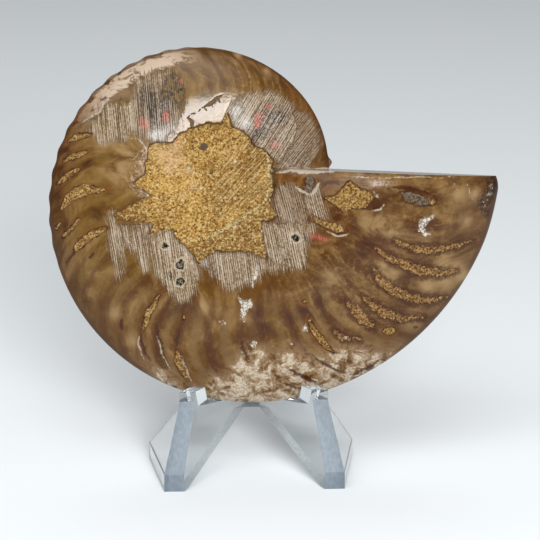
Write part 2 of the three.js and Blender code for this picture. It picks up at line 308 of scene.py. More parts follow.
# %% Fine lines, the chip, the pits and the ridge in the sand
CHALK_STREAKS = [
    ([(9.4, -22.6), (8.6, -25), (8, -28.6)], 1.1),
    ([(18.6, -44.6), (19, -45.4)], 0.9),
    ([(33.6, -43.2), (34.6, -43.8)], 0.8),
    ([(-1.4, -37.8), (1, -39.2)], 0.35),
    ([(64.4, -0.6), (65.4, -2.4)], 0.5),
    ([(68.4, -0.8), (69.4, -3.6), (70.6, -5.6)], 0.45),
    ([(76.6, -1), (75, -1.9), (76.2, -2.4)], 0.5),
    ([(74.3, -4.2), (75.4, -3.6), (76.8, -3.9)], 0.6),
    ([(73, -6.1), (74.2, -5.2), (75.2, -5)], 0.5),
    ([(73.2, -7.8), (74.4, -6.8)], 0.5),
    ([(41.4, -2), (42.4, -3.8), (43.2, -2.6)], 0.6),
]
PALE_LINES = [  # seams between the whorls, pale edges of slits, and a painted highlight along the top edge on the right
    ([(14.8, 3.2), (19, 3.6), (25, 3.5), (31.5, 3.4)], 1.1),
    ([(20, -0.4), (22, -1.8), (24, -3.2)], 0.7),
    ([(24, -3), (25.6, -1.4), (26.8, 0.8)], 0.7),
    ([(40.4, -7.5), (43.2, -7.2), (44.6, -5.6)], 0.5),
    ([(28, -12.9), (31.4, -14.4), (34.8, -13.6)], 0.5),
    ([(-23.9, -42), (-24.1, -45), (-22.6, -49.6)], 0.4),
    ([(-18.7, -42), (-17.4, -48), (-15, -52.6)], 0.4),
    ([(-12, -48), (-10.6, -53), (-9.4, -56)], 0.45),
    # Painted highlight along the top edge on the right, next to the ground end.
    ([(33, 2.3), (38, 2.1), (46, 1.8), (56, 1.5), (66, 1.2)], 0.3),
    ([(-39.4, 17), (-34, 20.6), (-30.2, 25.6)], 0.5),
    ([(-26.5, 13.6), (-23.1, 12.7), (-21.4, 10.4), (-21, 8.6)], 0.25),
]
DARK_LINES = [
    ([(-44.3, -22.5), (-42.8, -20.5), (-41.4, -18.4)], 0.8),
    ([(-37.6, -20.6), (-36, -18.4)], 1),
    ([(-23.2, -41.5), (-23.3, -44), (-22.3, -47), (-20.8, -50)], 0.9),
    ([(-19.2, -38), (-18.3, -43), (-17.4, -47), (-15.8, -52)], 0.9),
    ([(-12.6, -40), (-13.2, -43.5), (-13, -46.5)], 0.9),
    ([(-28.5, -37), (-28.6, -41)], 1),
    ([(4.6, -43), (5.4, -46.5), (6.8, -49.6)], 1),
    ([(17.8, -52), (22, -54.7), (27, -57.2)], 1.1),
    ([(24, -48), (29.5, -51.8), (34, -54.2)], 0.8),
    ([(16.5, -56), (20.5, -58.4)], 0.9),
    ([(45, -1.6), (50, -1.2), (56, -2.6), (60.8, -5.2)], 1.2),
    ([(35, -55.6), (40, -53.2), (44.5, -50.8)], 1),
    ([(27.4, -0.2), (28.8, 0.6), (31.4, 0.4), (32.6, -1.2)], 0.9),
    ([(28.2, -3.4), (31.2, -2.8)], 0.8),
    ([(36.8, -0.1), (40.2, -0.5)], 0.5),
    ([(31.4, -6.9), (33.4, -7.9), (36.4, -7.2)], 0.5),
    ([(28.2, -12.6), (31.4, -13.9), (34.2, -13.2), (33.8, -11.6)], 0.7),
    ([(53.6, -41.4), (55.4, -41.6)], 1),
    ([(-32.4, 27.8), (-30.4, 29.2)], 0.9),
    ([(-33.8, 23.2), (-31.6, 24.4)], 0.9),
    ([(-37.2, 22.4), (-35.2, 24.4)], 0.7),
    ([(-28.9, 30.4), (-27.2, 31.6)], 0.7),
    ([(-41.4, 16.2), (-40, 17.8)], 0.7),
]
CHIPPED = [  # a leaf-shaped chip in the polish above the fill
    ([(-9.4, 18.6), (-8.4, 17.4), (-8.3, 15)], 0.9),
    ([(-9.6, 18.8), (-6.5, 20.4), (-4, 22)], 0.35),
    ([(-5, 21.4), (-2.5, 23), (0.6, 25)], 0.9),
    ([(-4.6, 21.4), (-4, 20.4)], 0.3),
    ([(-2.8, 22.6), (-2.2, 21.4)], 0.3),
    ([(-1, 23.6), (-0.4, 22.6)], 0.3),
]
PITS = [(-16.2, -16.6, 0.9), (-12.1, -22, 1.3), (-12, -27, 1.3), (20.1, -14.8, 1.1)]
CREAM = [(-22, -49.6), (-16, -51.2), (-12, -55), (-8, -57), (-4, -53.4), (0, -54.6), (3, -49.6),
         (7, -45.4), (11, -46), (14, -49.6), (19, -47.4), (25, -50.4), (30, -48.4), (36, -47),
         (42, -49.6), (50, -50), (40, -62), (10, -70), (-20, -62)]
PEBBLE = (-5, 10.6, 1.1)
RIDGE = [(-2, -14), (3.8, -10.4), (8.4, -8.2), (12, -4.6), (13.6, 0.4), (13.4, 4.6), (12.6, 8)]
print("fine lines:", len(CHALK_STREAKS), "chalky,", len(PALE_LINES), "pale,", len(DARK_LINES), "dark")

# %% Distances to outlines, lines and spots
LENS_FULLNESS = 0.6  # 1 gives slits like a willow leaf, less makes them blunter


def to_segment(u, v, start, stop):
    """Distance to a straight piece, and how far along it the nearest point lies."""
    along = np.array(stop) - np.array(start)
    part = ((u - start[0]) * along[0] + (v - start[1]) * along[1]) / (along @ along)
    part = np.clip(part, 0, 1)
    return np.hypot(u - start[0] - part * along[0], v - start[1] - part * along[1]), part


def outline_depth(u, v, corners):
    """How far inside a closed outline a point lies, negative outside."""
    nearest = np.full(len(u), np.inf)
    inside = np.zeros(len(u), bool)
    for start, stop in zip(corners, corners[1:] + corners[:1]):
        nearest = np.minimum(nearest, to_segment(u, v, start, stop)[0])
        rise = stop[1] - start[1]
        if rise:
            crosses = (start[1] > v) != (stop[1] > v)
            inside ^= crosses & (u < start[0] + (v - start[1]) / rise * (stop[0] - start[0]))
    return np.where(inside, nearest, -nearest)


def lens_depth(u, v, line, width):
    """How far inside a lens that is drawn along a line, and pointed at both ends."""
    steps = len(line) - 1
    depth = np.full(len(u), -np.inf)
    for number, (start, stop) in enumerate(zip(line, line[1:])):
        distance, part = to_segment(u, v, start, stop)
        half = width / 2 * np.sin(math.pi * (number + part) / steps) ** LENS_FULLNESS
        depth = np.maximum(depth, half - distance)
    return depth


def beyond(u, v, line):
    """Distance to a line, positive on the right of its direction."""
    nearest = np.full(len(u), np.inf)
    side = np.zeros(len(u))
    for start, stop in zip(line, line[1:]):
        distance, _ = to_segment(u, v, start, stop)
        turned = (stop[1] - start[1]) * (u - start[0]) - (stop[0] - start[0]) * (v - start[1])
        closer = distance < nearest
        side[closer] = np.sign(turned[closer])
        nearest = np.minimum(nearest, distance)
    return nearest * side


def spots(u, v, places):
    """Soft round spots, each given as u, v and radius."""
    total = np.zeros(len(u))
    for at_u, at_v, radius in places:
        total += np.exp(-((u - at_u) ** 2 + (v - at_v) ** 2) / radius ** 2)
    return np.minimum(total, 1)


def grain(u, v, size, seed):
    """Smooth noise between -1 and 1, with lumps of about this size."""
    return np.array([noise.noise((a / size, b / size, seed)) for a, b in zip(u, v)])


middle = np.zeros(1)
print("the cream begins", round(-float(outline_depth(middle, middle, CREAM)[0]), 1), "mm from the middle")

# %% [markdown]
# ## The shell's mesh
# A flat grid is the simplest start: one side of it runs along the whorl and the other from
# the middle to the rim. The growth formulas then bend it into the coil. Sculpting by hand
# could do the same, but the formulas meet the solid exactly. Long edges are split until the
# cells are small enough for slits and lumps.

# %% Bend a grid into the coil
SECTORS = 280
FILL_RINGS = 18
WALL_RINGS = 2
FLANK_RINGS = 44
RINGS = FILL_RINGS + WALL_RINGS + FLANK_RINGS
FILL_SHARE = FILL_RINGS / RINGS
WALL_SHARE = WALL_RINGS / RINGS
LONGEST_EDGE = 0.52
SPLITTING_PASSES = 3


def coil(around, outward):
    """Places on the cut back: around is 0 to 1 along the whorl, outward 0 to 1 to the rim."""
    turned = around * TURN
    inner_angle = turned + end_angle(INNER_END)
    edge = fill_radius(inner_angle)
    fill_part = np.clip(outward / FILL_SHARE, 0, 1)
    step = np.clip((outward - FILL_SHARE - WALL_SHARE) / (1 - FILL_SHARE - WALL_SHARE), 0, 1)
    eased = np.sin(step * math.pi / 2)
    end_rim = lerp(EARLY_END, LATE_END, around)
    rim = worn_rim_radius(turned + end_angle(end_rim))
    wall = np.clip((outward - FILL_SHARE) / WALL_SHARE, 0, 1) * EDGE_WIDTH
    radius = np.where(fill_part < 1, fill_part * edge, lerp(edge + wall, rim, eased))
    angle = np.where(step > 0, turned + end_angle(lerp(INNER_END + EDGE_WIDTH, end_rim, eased)), inner_angle)
    return radius, angle


bm = bmesh.new()
bmesh.ops.create_grid(bm, x_segments=SECTORS, y_segments=RINGS, size=0.5)
along_layer = bm.verts.layers.float.new("around")
across_layer = bm.verts.layers.float.new("outward")
for vert in bm.verts:
    vert[along_layer] = vert.co.x + 0.5
    vert[across_layer] = vert.co.y + 0.5


def spread():
    """Moves every point of the grid to its place in the coil, at the plain flank's height."""
    around = np.array([vert[along_layer] for vert in bm.verts])
    outward = np.array([vert[across_layer] for vert in bm.verts])
    radius, angle = coil(around, outward)
    flank = flank_height(radius, angle)
    fill = fill_height(radius, around)
    wall = np.clip((outward - FILL_SHARE) / WALL_SHARE, 0, 1)
    height = np.where(outward <= FILL_SHARE, fill, lerp(fill, flank, wall))
    places = np.column_stack([radius * np.cos(angle), radius * np.sin(angle), height])
    for vert, place in zip(bm.verts, places):
        vert.co = place
    return around, outward, radius, angle, places


spread()
for _ in range(SPLITTING_PASSES):
    long_edges = [edge for edge in bm.edges if edge.calc_length() > LONGEST_EDGE]
    bmesh.ops.subdivide_edges(bm, edges=long_edges, cuts=1, use_grid_fill=True)
    around, outward, radius, angle, places = spread()
print("front:", len(bm.verts), "points,", len(bm.faces), "faces")

# %% [markdown]
# ## Relief
# The marks are not only paint. The sanding flats lie a little low and have grooves, the
# slits and pits are hollows, and the sandstone is lumpy. A displacement modifier could do
# this from a texture, but moving the points keeps every mark where its outline says. The
# outlines are first bent a little by noise, because nothing on a stone is drawn with a ruler.

# %% Depth of every mark at every point
WOBBLES = ((3.0, 0.5), (1.1, 0.22))  # size of the waves and how far they push
WOBBLE_SEEDS = (3.1, 8.7)
along_u = places[:, 0]
along_v = places[:, 1]
bent_u = along_u + sum(push * grain(along_u, along_v, size, WOBBLE_SEEDS[0]) for size, push in WOBBLES)
bent_v = along_v + sum(push * grain(along_u, along_v, size, WOBBLE_SEEDS[1]) for size, push in WOBBLES)


def deepest(outlines=(), lines=()):
    """Depth inside the nearest of several outlines and lines."""
    depths = [outline_depth(bent_u, bent_v, outline) for outline in outlines]
    depths += [lens_depth(bent_u, bent_v, *line) for line in lines]
    return np.max(depths, axis=0)


depths = {
    "sanded": deepest([outline for outline, _, _ in SANDED]),
    "golden": deepest(GOLDEN_PATCHES, GOLDEN_SLITS),
    "speckled": deepest(lines=SPECKLED_SLITS),
    "dark_line": deepest(DARK_PATCHES, DARK_LINES),
    "grey_lens": deepest(GREY_PATCHES),
    "chalk": deepest(CHALK_PATCHES, CHALK_STREAKS),
    "pale_line": deepest(lines=PALE_LINES),
    "cream": deepest([CREAM]),
    "chipped": deepest(lines=CHIPPED),
    "pit": np.max([size - np.hypot(bent_u - at_u, bent_v - at_v) for at_u, at_v, size in PITS], axis=0),
    "pebble": PEBBLE[2] - np.hypot(bent_u - PEBBLE[0], bent_v - PEBBLE[1]),
    "ridge": -beyond(bent_u, bent_v, RIDGE),
}
for name, depth in depths.items():
    print("part of the points inside:", name, round(float((depth > 0).mean()), 3))

# %% Directions of the scratches
strokes = np.zeros((len(places), 3))
nearest_flat = np.full(len(places), -np.inf)
for outline, degrees, tone in SANDED:
    depth = outline_depth(bent_u, bent_v, outline)
    turn = math.radians(degrees)
    across = along_v * math.cos(turn) - along_u * math.sin(turn)
    along = along_u * math.cos(turn) + along_v * math.sin(turn)
    chosen = depth > nearest_flat
    strokes[chosen] = np.column_stack([across, along, np.full(len(across), tone)])[chosen]
    nearest_flat = np.maximum(nearest_flat, depth)

# %% Move the points
FLAT_DEPTH = 0.22
FLAT_SLOPE = (-0.2, 1.5)  # distances to its edge between which a flat reaches its depth
GROOVE_DEPTH = 0.05
GROOVE_SPACING = 1.0
SLIT_DEPTH = 0.25
SLIT_SLOPE = (-0.1, 0.6)
SPECKLE_DEPTH = 0.22
SPECKLE_LUMPS = (0.9, 5)  # size and seed
SPECKLE_EVENNESS = 0.6  # the part of the depth that every lump has
PIT_DEPTH = 1.0
PIT_SLOPE = (0.0, 0.7)
CHIP_DEPTH = 0.1
CHIP_SLOPE = (-0.1, 0.3)
PEBBLE_HEIGHT = 0.35
PEBBLE_SLOPE = (-0.2, 0.8)
RIDGE_HEIGHT = 0.8
RIDGE_INNER = (-1.2, 0.3)  # distances to its line between which it rises, and falls again
RIDGE_OUTER = (2, 6)
LEDGE = (-2.5, 15.8, 4.0, 0.9)  # u, v, radius and depth of the deep place under the top edge
FILL_LUMP = 0.35
FILL_GRAINS = ((3.2, 0.3), (1.4, 0.2), (0.8, 0.16))  # size and height
FILL_SEED = 1.7


def fill_relief(u, v, part):
    """Lumps and grains of the sandstone, none at its middle and none at its very edge."""
    first = np.sin(0.7 * u + 0.4 * v) * np.sin(0.6 * v - 0.3 * u + 1)
    second = np.sin(0.4 * u - 0.9 * v + 2) * np.sin(0.9 * u + 0.2 * v)
    relief = FILL_LUMP * (0.6 * first + 0.4 * second) * part * (1 - part) * 4
    rough = sum(height * grain(u, v, size, FILL_SEED) for size, height in FILL_GRAINS)
    relief += rough * smooth(part, 0.0, 0.05) * (1 - smooth(part, 0.96, 1))
    return relief


def flank_relief():
    """Change in height on the flank, where every mark lies below the polish."""
    grooves = GROOVE_DEPTH * np.sin(TURN * strokes[:, 0] / GROOVE_SPACING)
    lumps = SPECKLE_EVENNESS + grain(along_u, along_v, *SPECKLE_LUMPS)
    sunk = (FLAT_DEPTH + grooves) * smooth(depths["sanded"], *FLAT_SLOPE)
    sunk += SLIT_DEPTH * smooth(depths["golden"], *SLIT_SLOPE)
    sunk += SPECKLE_DEPTH * smooth(depths["speckled"], *SLIT_SLOPE) * lumps
    sunk += PIT_DEPTH * smooth(depths["pit"], *PIT_SLOPE)
    sunk += CHIP_DEPTH * smooth(depths["chipped"], *CHIP_SLOPE)
    return -sunk


in_fill = outward < FILL_SHARE
part = np.clip(outward / FILL_SHARE, 0, 1)
fill_change = fill_relief(along_u, along_v, part)
plateau = -depths["ridge"]
ridge_shape = smooth(plateau, *RIDGE_INNER) * (1 - smooth(plateau, *RIDGE_OUTER))
fill_change += RIDGE_HEIGHT * ridge_shape * (1 - part ** 4)
fill_change -= LEDGE[3] * spots(along_u, along_v, [LEDGE[:3]])
fill_change += PEBBLE_HEIGHT * smooth(depths["pebble"], *PEBBLE_SLOPE)
places[:, 2] += np.where(in_fill, fill_change, flank_relief())
for vert, place in zip(bm.verts, places):
    vert.co = place
heights = places[:, 2]
print("heights now from", round(float(heights.min()), 1), "to", round(float(heights.max()), 1), "mm")

# %% [markdown]
# ## The lines of growth
# Dark and light bands follow the ribs that polishing took away. The ribs are sickle-shaped:
# they run straight out from the middle and swing forward near the rim. A wave with an even
# pitch would do from far away, but real ribs are uneven, so the place and the strength of
# each is listed. The paint then only needs a wave of the rib number.

# %% Rib number, reach and strength
RIBS = [  # degrees around the spiral and strength of the dark band, after the even ones
    (146, 0.3), (155, 0.4), (163, 0.35), (170.4, 0.35), (180.7, 0.4), (190.6, 0.45), (199.5, 0.55),
    (205.5, 0.4), (212, 0.6), (221, 0.5), (229.5, 0.7), (238.5, 0.9), (244.2, 0.85), (252.8, 1.0),
    (264, 0.95), (276, 0.7), (285.5, 0.45), (295, 0.95), (301.6, 0.8), (307.5, 0.8), (315.5, 0.6),
    (320.8, 0.6), (327.7, 0.8), (335.7, 0.75), (341.3, 0.7), (347.5, 0.75), (356, 0.6), (364, 0.5),
]
EVEN_RIBS = [(-8 + 8.0 * number, 0.35) for number in range(19)]
SICKLE_TURN = 0.74  # part of the radius at which a rib lies furthest back
SICKLE_EARLY = 85  # how strongly it swings forward from there, in degrees, on the lower left
SICKLE_LATE = 52  # and on the right
SICKLE_CHANGES = (270, 305)  # degrees around the spiral between which the one becomes the other
SICKLE_INNER = 18
SICKLE_POWER = 1.5


def sickle(reach, degrees):
    """How far forward a rib lies, in degrees, at a part of the radius."""
    swing = lerp(SICKLE_EARLY, SICKLE_LATE, smooth(degrees, *SICKLE_CHANGES))
    outer = swing * np.maximum(reach - SICKLE_TURN, 0) ** SICKLE_POWER
    return outer + SICKLE_INNER * np.maximum(SICKLE_TURN - reach, 0) ** SICKLE_POWER


reach = np.minimum(radius / rim_radius(angle), 1)
degrees = np.degrees(angle)
unbent = degrees - sickle(reach, degrees)
rib_places = [place for place, _ in EVEN_RIBS + RIBS]
rib_number = np.interp(unbent, rib_places, np.arange(len(rib_places)))
rib_strength = np.interp(unbent, rib_places, [strength for _, strength in EVEN_RIBS + RIBS])
growth = np.column_stack([rib_number, reach, rib_strength])
print("ribs:", len(rib_places), "swing forward at the rim:", round(float(sickle(1.0, 250.0)), 1), "degrees")

# %% [markdown]
# ## Soft stains
# Rust, soot, pale clouds and brown shade have no edges, so they are soft round spots, and so
# is the painted highlight of the glare on the sanded flats. Each kind is one value on the mesh,
# next to the distances, and the paint breaks it up by noise.

# %% Places of the stains
STAINS = {  # soft spots as u, v and radius
    "shade": [(8, -57, 3), (-44.6, 4, 2.4), (-45.8, -3.4, 2.4), (-43.2, 9.6, 2.2), (-44, -11, 2.2),
              (-35, -8, 2.4), (-37, 6, 2), (26.5, 0.8, 2), (29.5, 1.6, 2), (31, -9.2, 1.8), (36, -12, 2.4),
              (40.5, -15.5, 2.6), (38.5, -19.5, 2.6), (44, -17, 2), (43.6, -7.4, 1.8), (46, -3, 2.4),
              (52, -1.6, 2.2), (57.5, -2.6, 2.2), (61, -5.4, 1.8), (54, -15, 2.6), (60, -15.6, 2.6),
              (66, -14.8, 2.2), (51.5, -27.4, 3), (54.5, -20.6, 2.2), (50, -35, 3), (22.4, -35.5, 2),
              (27, -33, 3.4), (31, -38.5, 2.2), (33.2, -34, 1.8), (18.5, -37.5, 2.2), (-31, -2.4, 1.6),
              (-38.2, 17.8, 2), (-13.5, -34.5, 3), (10, -41, 3), (-19, -27, 2.6), (8.6, -36, 2.2)],
    "rust": [(-31, 28.4, 1.4), (-33.6, 23.4, 1.8), (-37.8, 21.4, 1.8), (-40.6, 17, 1.6), (20.5, 25, 2),
             (23.4, 21.4, 2), (25.6, 17.6, 2), (27.5, -6.5, 1.6), (24.4, -8, 1.6), (23.2, -5.6, 1.4),
             (16, 1, 2), (19.4, 1.2, 2), (30, -1.6, 2), (26.2, 0.8, 1.2), (31, 2.4, 2.4), (23, 2.2, 2.4),
             (43, -19, 2.2), (52, -18.2, 2.4), (60, -19.2, 2), (-31.5, -1, 1.4), (-28.5, -8.8, 3.4),
             (-23.5, -11, 2.2), (-20, -13.6, 1.6), (26.5, -43, 1.6), (-43, 12, 1.4), (33.5, -12.6, 1.6),
             (18, -4.5, 1.4), (-22.5, -38.5, 1.2), (15, 3.2, 1.6), (40, -53.2, 2), (36.8, -54.6, 1.8),
             (41, 1, 2), (50, 0.6, 2), (60, 0.2, 2), (24.6, -40, 1.6), (30.6, -14.4, 1)],
    "pale": [(-27, 10, 3), (-33.5, 12, 2), (-29, 4, 3), (45, -11.4, 3.2), (40.5, -10.8, 2.6),
             (48.5, -13, 2.4), (66, -3.4, 2.4), (61, -1.6, 1.8), (71, -3.6, 1.6), (62.5, -28.2, 3),
             (57, -29.4, 2.4), (62, -22.4, 2.4), (66, -24.6, 2), (47, -25.8, 2.2), (44, -23.4, 1.8),
             (68, -10.8, 1.8), (68, -27, 2), (3.6, 33, 1.2), (4.6, 36, 1.2), (12.8, 31, 1),
             (-6.6, -34, 2.2), (-8.2, -41, 2.2), (-31, -36, 2), (-26, -44, 2), (53, -38.6, 2.6),
             (46.6, -20.8, 1), (13, -31, 1.6), (30, -27, 2.6), (38, -50.5, 2.2)],
    "etched": [(29, 0.2, 2.4), (32, 0.2, 2.4), (35.5, 0.4, 2.2), (39, 0.4, 2)],
    "scuffed": [(76, 0, 1.8), (76, -2.6, 2), (74.4, -5.4, 2.2), (73, -7.2, 1.6), (74.6, -9.4, 1.4)],
    "crust": [(-13.8, 29, 2.4), (-12.6, 25.4, 2.6), (-10.8, 22.6, 2), (-15.6, 25.4, 1.6)],
    "pink": [(-15.5, 19.6, 0.9), (-15.7, 18.4, 0.9), (-21.9, 17.5, 1), (-21.2, 16.2, 0.8),
             (-11.2, 28.7, 0.7), (10, 17.4, 1), (10.7, 18.8, 0.9), (9.8, 16.2, 0.8), (13, 21.4, 0.8),
             (15.2, 10.6, 0.9), (24.8, -14.2, 0.8), (26.6, -14.9, 0.8), (28, -15.3, 0.7)],
    "soot": [(-19.4, 21.4, 3), (-17.4, 17.6, 2.4), (-16, 21.6, 2.4), (-20.6, 25.4, 2.4), (-12, 23.6, 2),
             (-11.2, 26.4, 1.6), (13.2, 18.6, 3.2), (17, 18.4, 2), (10.4, 14.4, 2.2), (8, 11.4, 1.6),
             (-12.2, -22.6, 1.2), (-14.8, -25.2, 0.9), (21.9, -14.9, 1.1), (1.4, -31.2, 0.8)],
    # Painted highlight: where the front softbox's glare falls on the scratched flats.
    "bleached": [(3.7, 20.4, 2.4), (2.4, 17.4, 2), (7, 16.8, 1.6), (-15.2, 13.8, 2.2), (-12.4, 16.2, 2),
                 (-18.6, 13.6, 1.6)],
    "grainy": [(-24.6, 1.6, 2.6), (-23, 6.4, 2.4), (-22.4, -1.6, 1.8), (-21.4, 9.6, 1.6)],
    "peach": [(-16.4, 8.6, 2.6), (-13, 11.8, 2.3), (-12.6, 7.4, 2.4), (-14.6, 4.4, 1.8), (-9.6, 3.6, 1.6),
              (-8.2, -0.6, 1.4), (-11.4, -3.2, 1.2)],
    "bright_sand": [(-9, 1, 3.6), (-14, 2, 3.6), (-19, 0, 3.6), (-8, -6, 2.6)],
    "scoop": [(4, 4, 6), (8, 0, 5), (2, -4, 5), (8, 8, 4)],
}
print("soft spots:", sum(len(spots_of_one) for spots_of_one in STAINS.values()))

# %% Keep the marks on the mesh for the paint
BROWN_BELOW = (205, 245)  # degrees around the spiral between which each part begins or ends
BROWN_ABOVE = (60, 110)
RIGHT_PART = (285, 325)
EARLY_PART = (70, 100)
PALE_RIM_PART = (96, 114, 142, 162)
BROWN_AT_TOP = 0.7  # how brown the early whorl is, next to the stone below


def keep(layers, marks):
    """Puts each mark's values on the points, for the paint to read."""
    for name, values in marks.items():
        layer = layers.new(name)
        for vert, value in zip(bm.verts, values.tolist()):
            vert[layer] = value


for name, stains in STAINS.items():
    depths[name] = spots(bent_u, bent_v, stains)
depths["fill"] = (FILL_SHARE - outward) * RINGS
depths["warm"] = smooth(degrees, *BROWN_BELOW) + BROWN_AT_TOP * (1 - smooth(degrees, *BROWN_ABOVE))
depths["right"] = smooth(degrees, *RIGHT_PART)
depths["early"] = 1 - smooth(degrees, *EARLY_PART)
depths["pale_rim"] = smooth(degrees, *PALE_RIM_PART[:2]) * (1 - smooth(degrees, *PALE_RIM_PART[2:]))
keep(bm.verts.layers.float, depths)
keep(bm.verts.layers.float_vector, {"growth": growth, "strokes": strokes})
print("kept on the mesh:", sorted(depths), "growth, strokes")

# %% [markdown]
# ## Rim wall, cut back and ground end
# The open border of the coil is drawn down to the cut plane, which makes the thin upright
# rim. Two flat holes are then left: the saw's cut behind, and the ground mouth. One face
# fills each, because both are truly flat on the real fossil.

# %% Draw the rim down to the cut
POLISHED, SANDSTONE, GROUND_END, CUT_BACK = range(4)
MERGE_DISTANCE = 0.002
AT_RIM = 0.999  # a point further out than this part of the way lies on the rim
SAND_SHARE = FILL_SHARE + 0.1 * WALL_SHARE
bmesh.ops.remove_doubles(bm, verts=bm.verts, dist=MERGE_DISTANCE)
bmesh.ops.dissolve_degenerate(bm, edges=bm.edges, dist=MERGE_DISTANCE)
across_layer = bm.verts.layers.float["outward"]
along_layer = bm.verts.layers.float["around"]
for face in bm.faces:
    in_sandstone = all(vert[across_layer] < SAND_SHARE for vert in face.verts)
    face.material_index = SANDSTONE if in_sandstone else POLISHED
open_border = [edge for edge in bm.edges if edge.is_boundary]
rim_edges = [edge for edge in open_border if all(vert[across_layer] > AT_RIM for vert in edge.verts)]
drawn = bmesh.ops.extrude_edge_only(bm, edges=rim_edges)["geom"]
foot = [item for item in drawn if isinstance(item, bmesh.types.BMVert)]
for vert in foot:
    vert.co.z = 0
for face in bm.faces:
    face.smooth = True
print("rim:", len(rim_edges), "edges drawn down")

# %% Fill the cut back and the ground end
foot.sort(key=lambda vert: vert[along_layer])
bm.edges.new((foot[0], foot[-1]))
flat_border = [edge for edge in bm.edges if edge.is_boundary or edge.is_wire]
cut_border = [edge for edge in flat_border if all(abs(vert.co.z) < MERGE_DISTANCE for vert in edge.verts)]
closing = [edge for edge in flat_border if edge.is_wire]
end_border = [edge for edge in flat_border if edge not in cut_border] + closing
for border, slot in ((cut_border, CUT_BACK), (end_border, GROUND_END)):
    made = bmesh.ops.edgeloop_fill(bm, edges=border, mat_nr=slot, use_smooth=False)
    print("flat faces:", len(made["faces"]), "with", [len(face.verts) for face in made["faces"]], "corners")
bmesh.ops.recalc_face_normals(bm, faces=bm.faces)
open_edges = sum(not edge.is_manifold for edge in bm.edges)
print("open edges:", open_edges, "triangles:", len(bm.calc_loop_triangles()), "volume in cm3:",
      round(bm.calc_volume() / 1000, 1))

# %% [markdown]
# The finished mesh goes from the flat cut's frame to its place on the easel in one step. The
# leaning place is put into the points themselves, so the object stays at the origin.

# %% Stand the stone in its place
ON_EASEL = Matrix.Translation(SPIRAL_CENTRE) @ Matrix.Rotation(math.radians(90) - LEAN, 4, "X")


def finished_piece(name, bm):
    """Turns a bmesh into an object of the same name as its mesh."""
    mesh = bpy.data.meshes.new(name)
    bm.to_mesh(mesh)
    bm.free()
    return put_in_scene(name, mesh)


bmesh.ops.transform(bm, matrix=ON_EASEL @ Matrix.Scale(MM, 4), verts=bm.verts)
shell = finished_piece("ammonite_shell", bm)
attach(shell, "root")
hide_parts("ammonite")
for furthest, solid in zip((min, max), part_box("ammonite")):
    corner = [furthest(vert.co[axis] for vert in shell.data.vertices) for axis in range(3)]
    print("corner in mm:", [round(x / MM, 2) for x in corner], "solid:", [round(x / MM, 2) for x in solid])

# %% [markdown]
# ## Tools for the finishes
# Every finish below is a chain of nodes. It could be wired by hand in the editor. Here a value
# that a node gives out can be added, multiplied and stepped like a number, and each of these
# adds one node, so a finish reads as a list of coats, from the lowest to the top one.

# %% Colours
STONE_LIGHT = 1.95  # a lit face on the front looks this much brighter than its own colour
HAZE = 0.02  # what the polish reflects of the studio, on top of that
DARKEST = 0.003


def colour(red, green, blue, light=STONE_LIGHT, haze=HAZE):
    """A thing's own colour, from the colour it has when lit, read off as 0 to 255 on a screen."""
    screen = [value / 255 for value in (red, green, blue)]
    lit = [x / 12.92 if x < 0.04045 else ((x + 0.055) / 1.055) ** 2.4 for x in screen]
    return (*[max((x - haze) / light, DARKEST) for x in lit], 1)


print("colour check, middle grey:", round(colour(128, 128, 128, 1, 0)[0], 3))

# %% Values that arithmetic can join


class Value:
    """What a node gives out. Arithmetic with it, and each method, adds one more node."""

    def __init__(self, finish, socket):
        self.finish = finish
        self.socket = socket

    def math(self, operation, *others):
        return self.finish.add("Math", dict(enumerate((self, *others))), operation=operation)

    def __add__(self, other):
        return self.math("ADD", other)

    def __sub__(self, other):
        return self.math("SUBTRACT", other)

    def __mul__(self, other):
        return self.math("MULTIPLY", other)

    def larger(self, other):
        return self.math("MAXIMUM", other)

    def wave(self):
        """A wave of the cosine kind that repeats each time the value grows by one."""
        return (self * TURN).math("COSINE")

    def step(self, low, high, to_low=0.0, to_high=1.0):
        """An S-curve from to_low, where the value is low, to to_high."""
        ends = {0: self, 1: low, 2: high, 3: to_low, 4: to_high}
        return self.finish.add("MapRange", ends, interpolation_type="SMOOTHSTEP")

    def noise(self, scale, detail=3.0, roughness=0.55, distortion=0.0):
        """Clouds on a place, with this many lumps a unit."""
        sizes = {"Scale": scale, "Detail": detail, "Roughness": roughness, "Distortion": distortion}
        return self.finish.add("TexNoise", {"Vector": self, **sizes})

    def streaks(self, sizes, detail, roughness, distortion=0.0, turn=0.0):
        """Clouds with lumps of these three sizes, the first along the turn."""
        inputs = {"Vector": self, "Rotation": (0, 0, math.radians(turn)), "Scale": sizes}
        sized = self.finish.add("Mapping", inputs, vector_type="TEXTURE")
        return sized.noise(1, detail, roughness, distortion)

    def cells(self, scale, feature="F1", output="Distance"):
        return self.finish.add("TexVoronoi", {"Vector": self, "Scale": scale}, output, feature=feature)

    def split(self):
        """The three numbers of a place."""
        first = self.finish.add("SeparateXYZ", {0: self})
        return [Value(self.finish, socket) for socket in first.socket.node.outputs]

    def bump(self, height, under=None):
        """Relief of this height, on top of a coarser one."""
        inputs = {"Height": self, "Distance": height}
        if under:
            inputs["Normal"] = under
        return self.finish.add("Bump", inputs)


print("a value has", ", ".join(name for name in vars(Value) if not name.startswith("_")))

# %% A finish that is built node by node


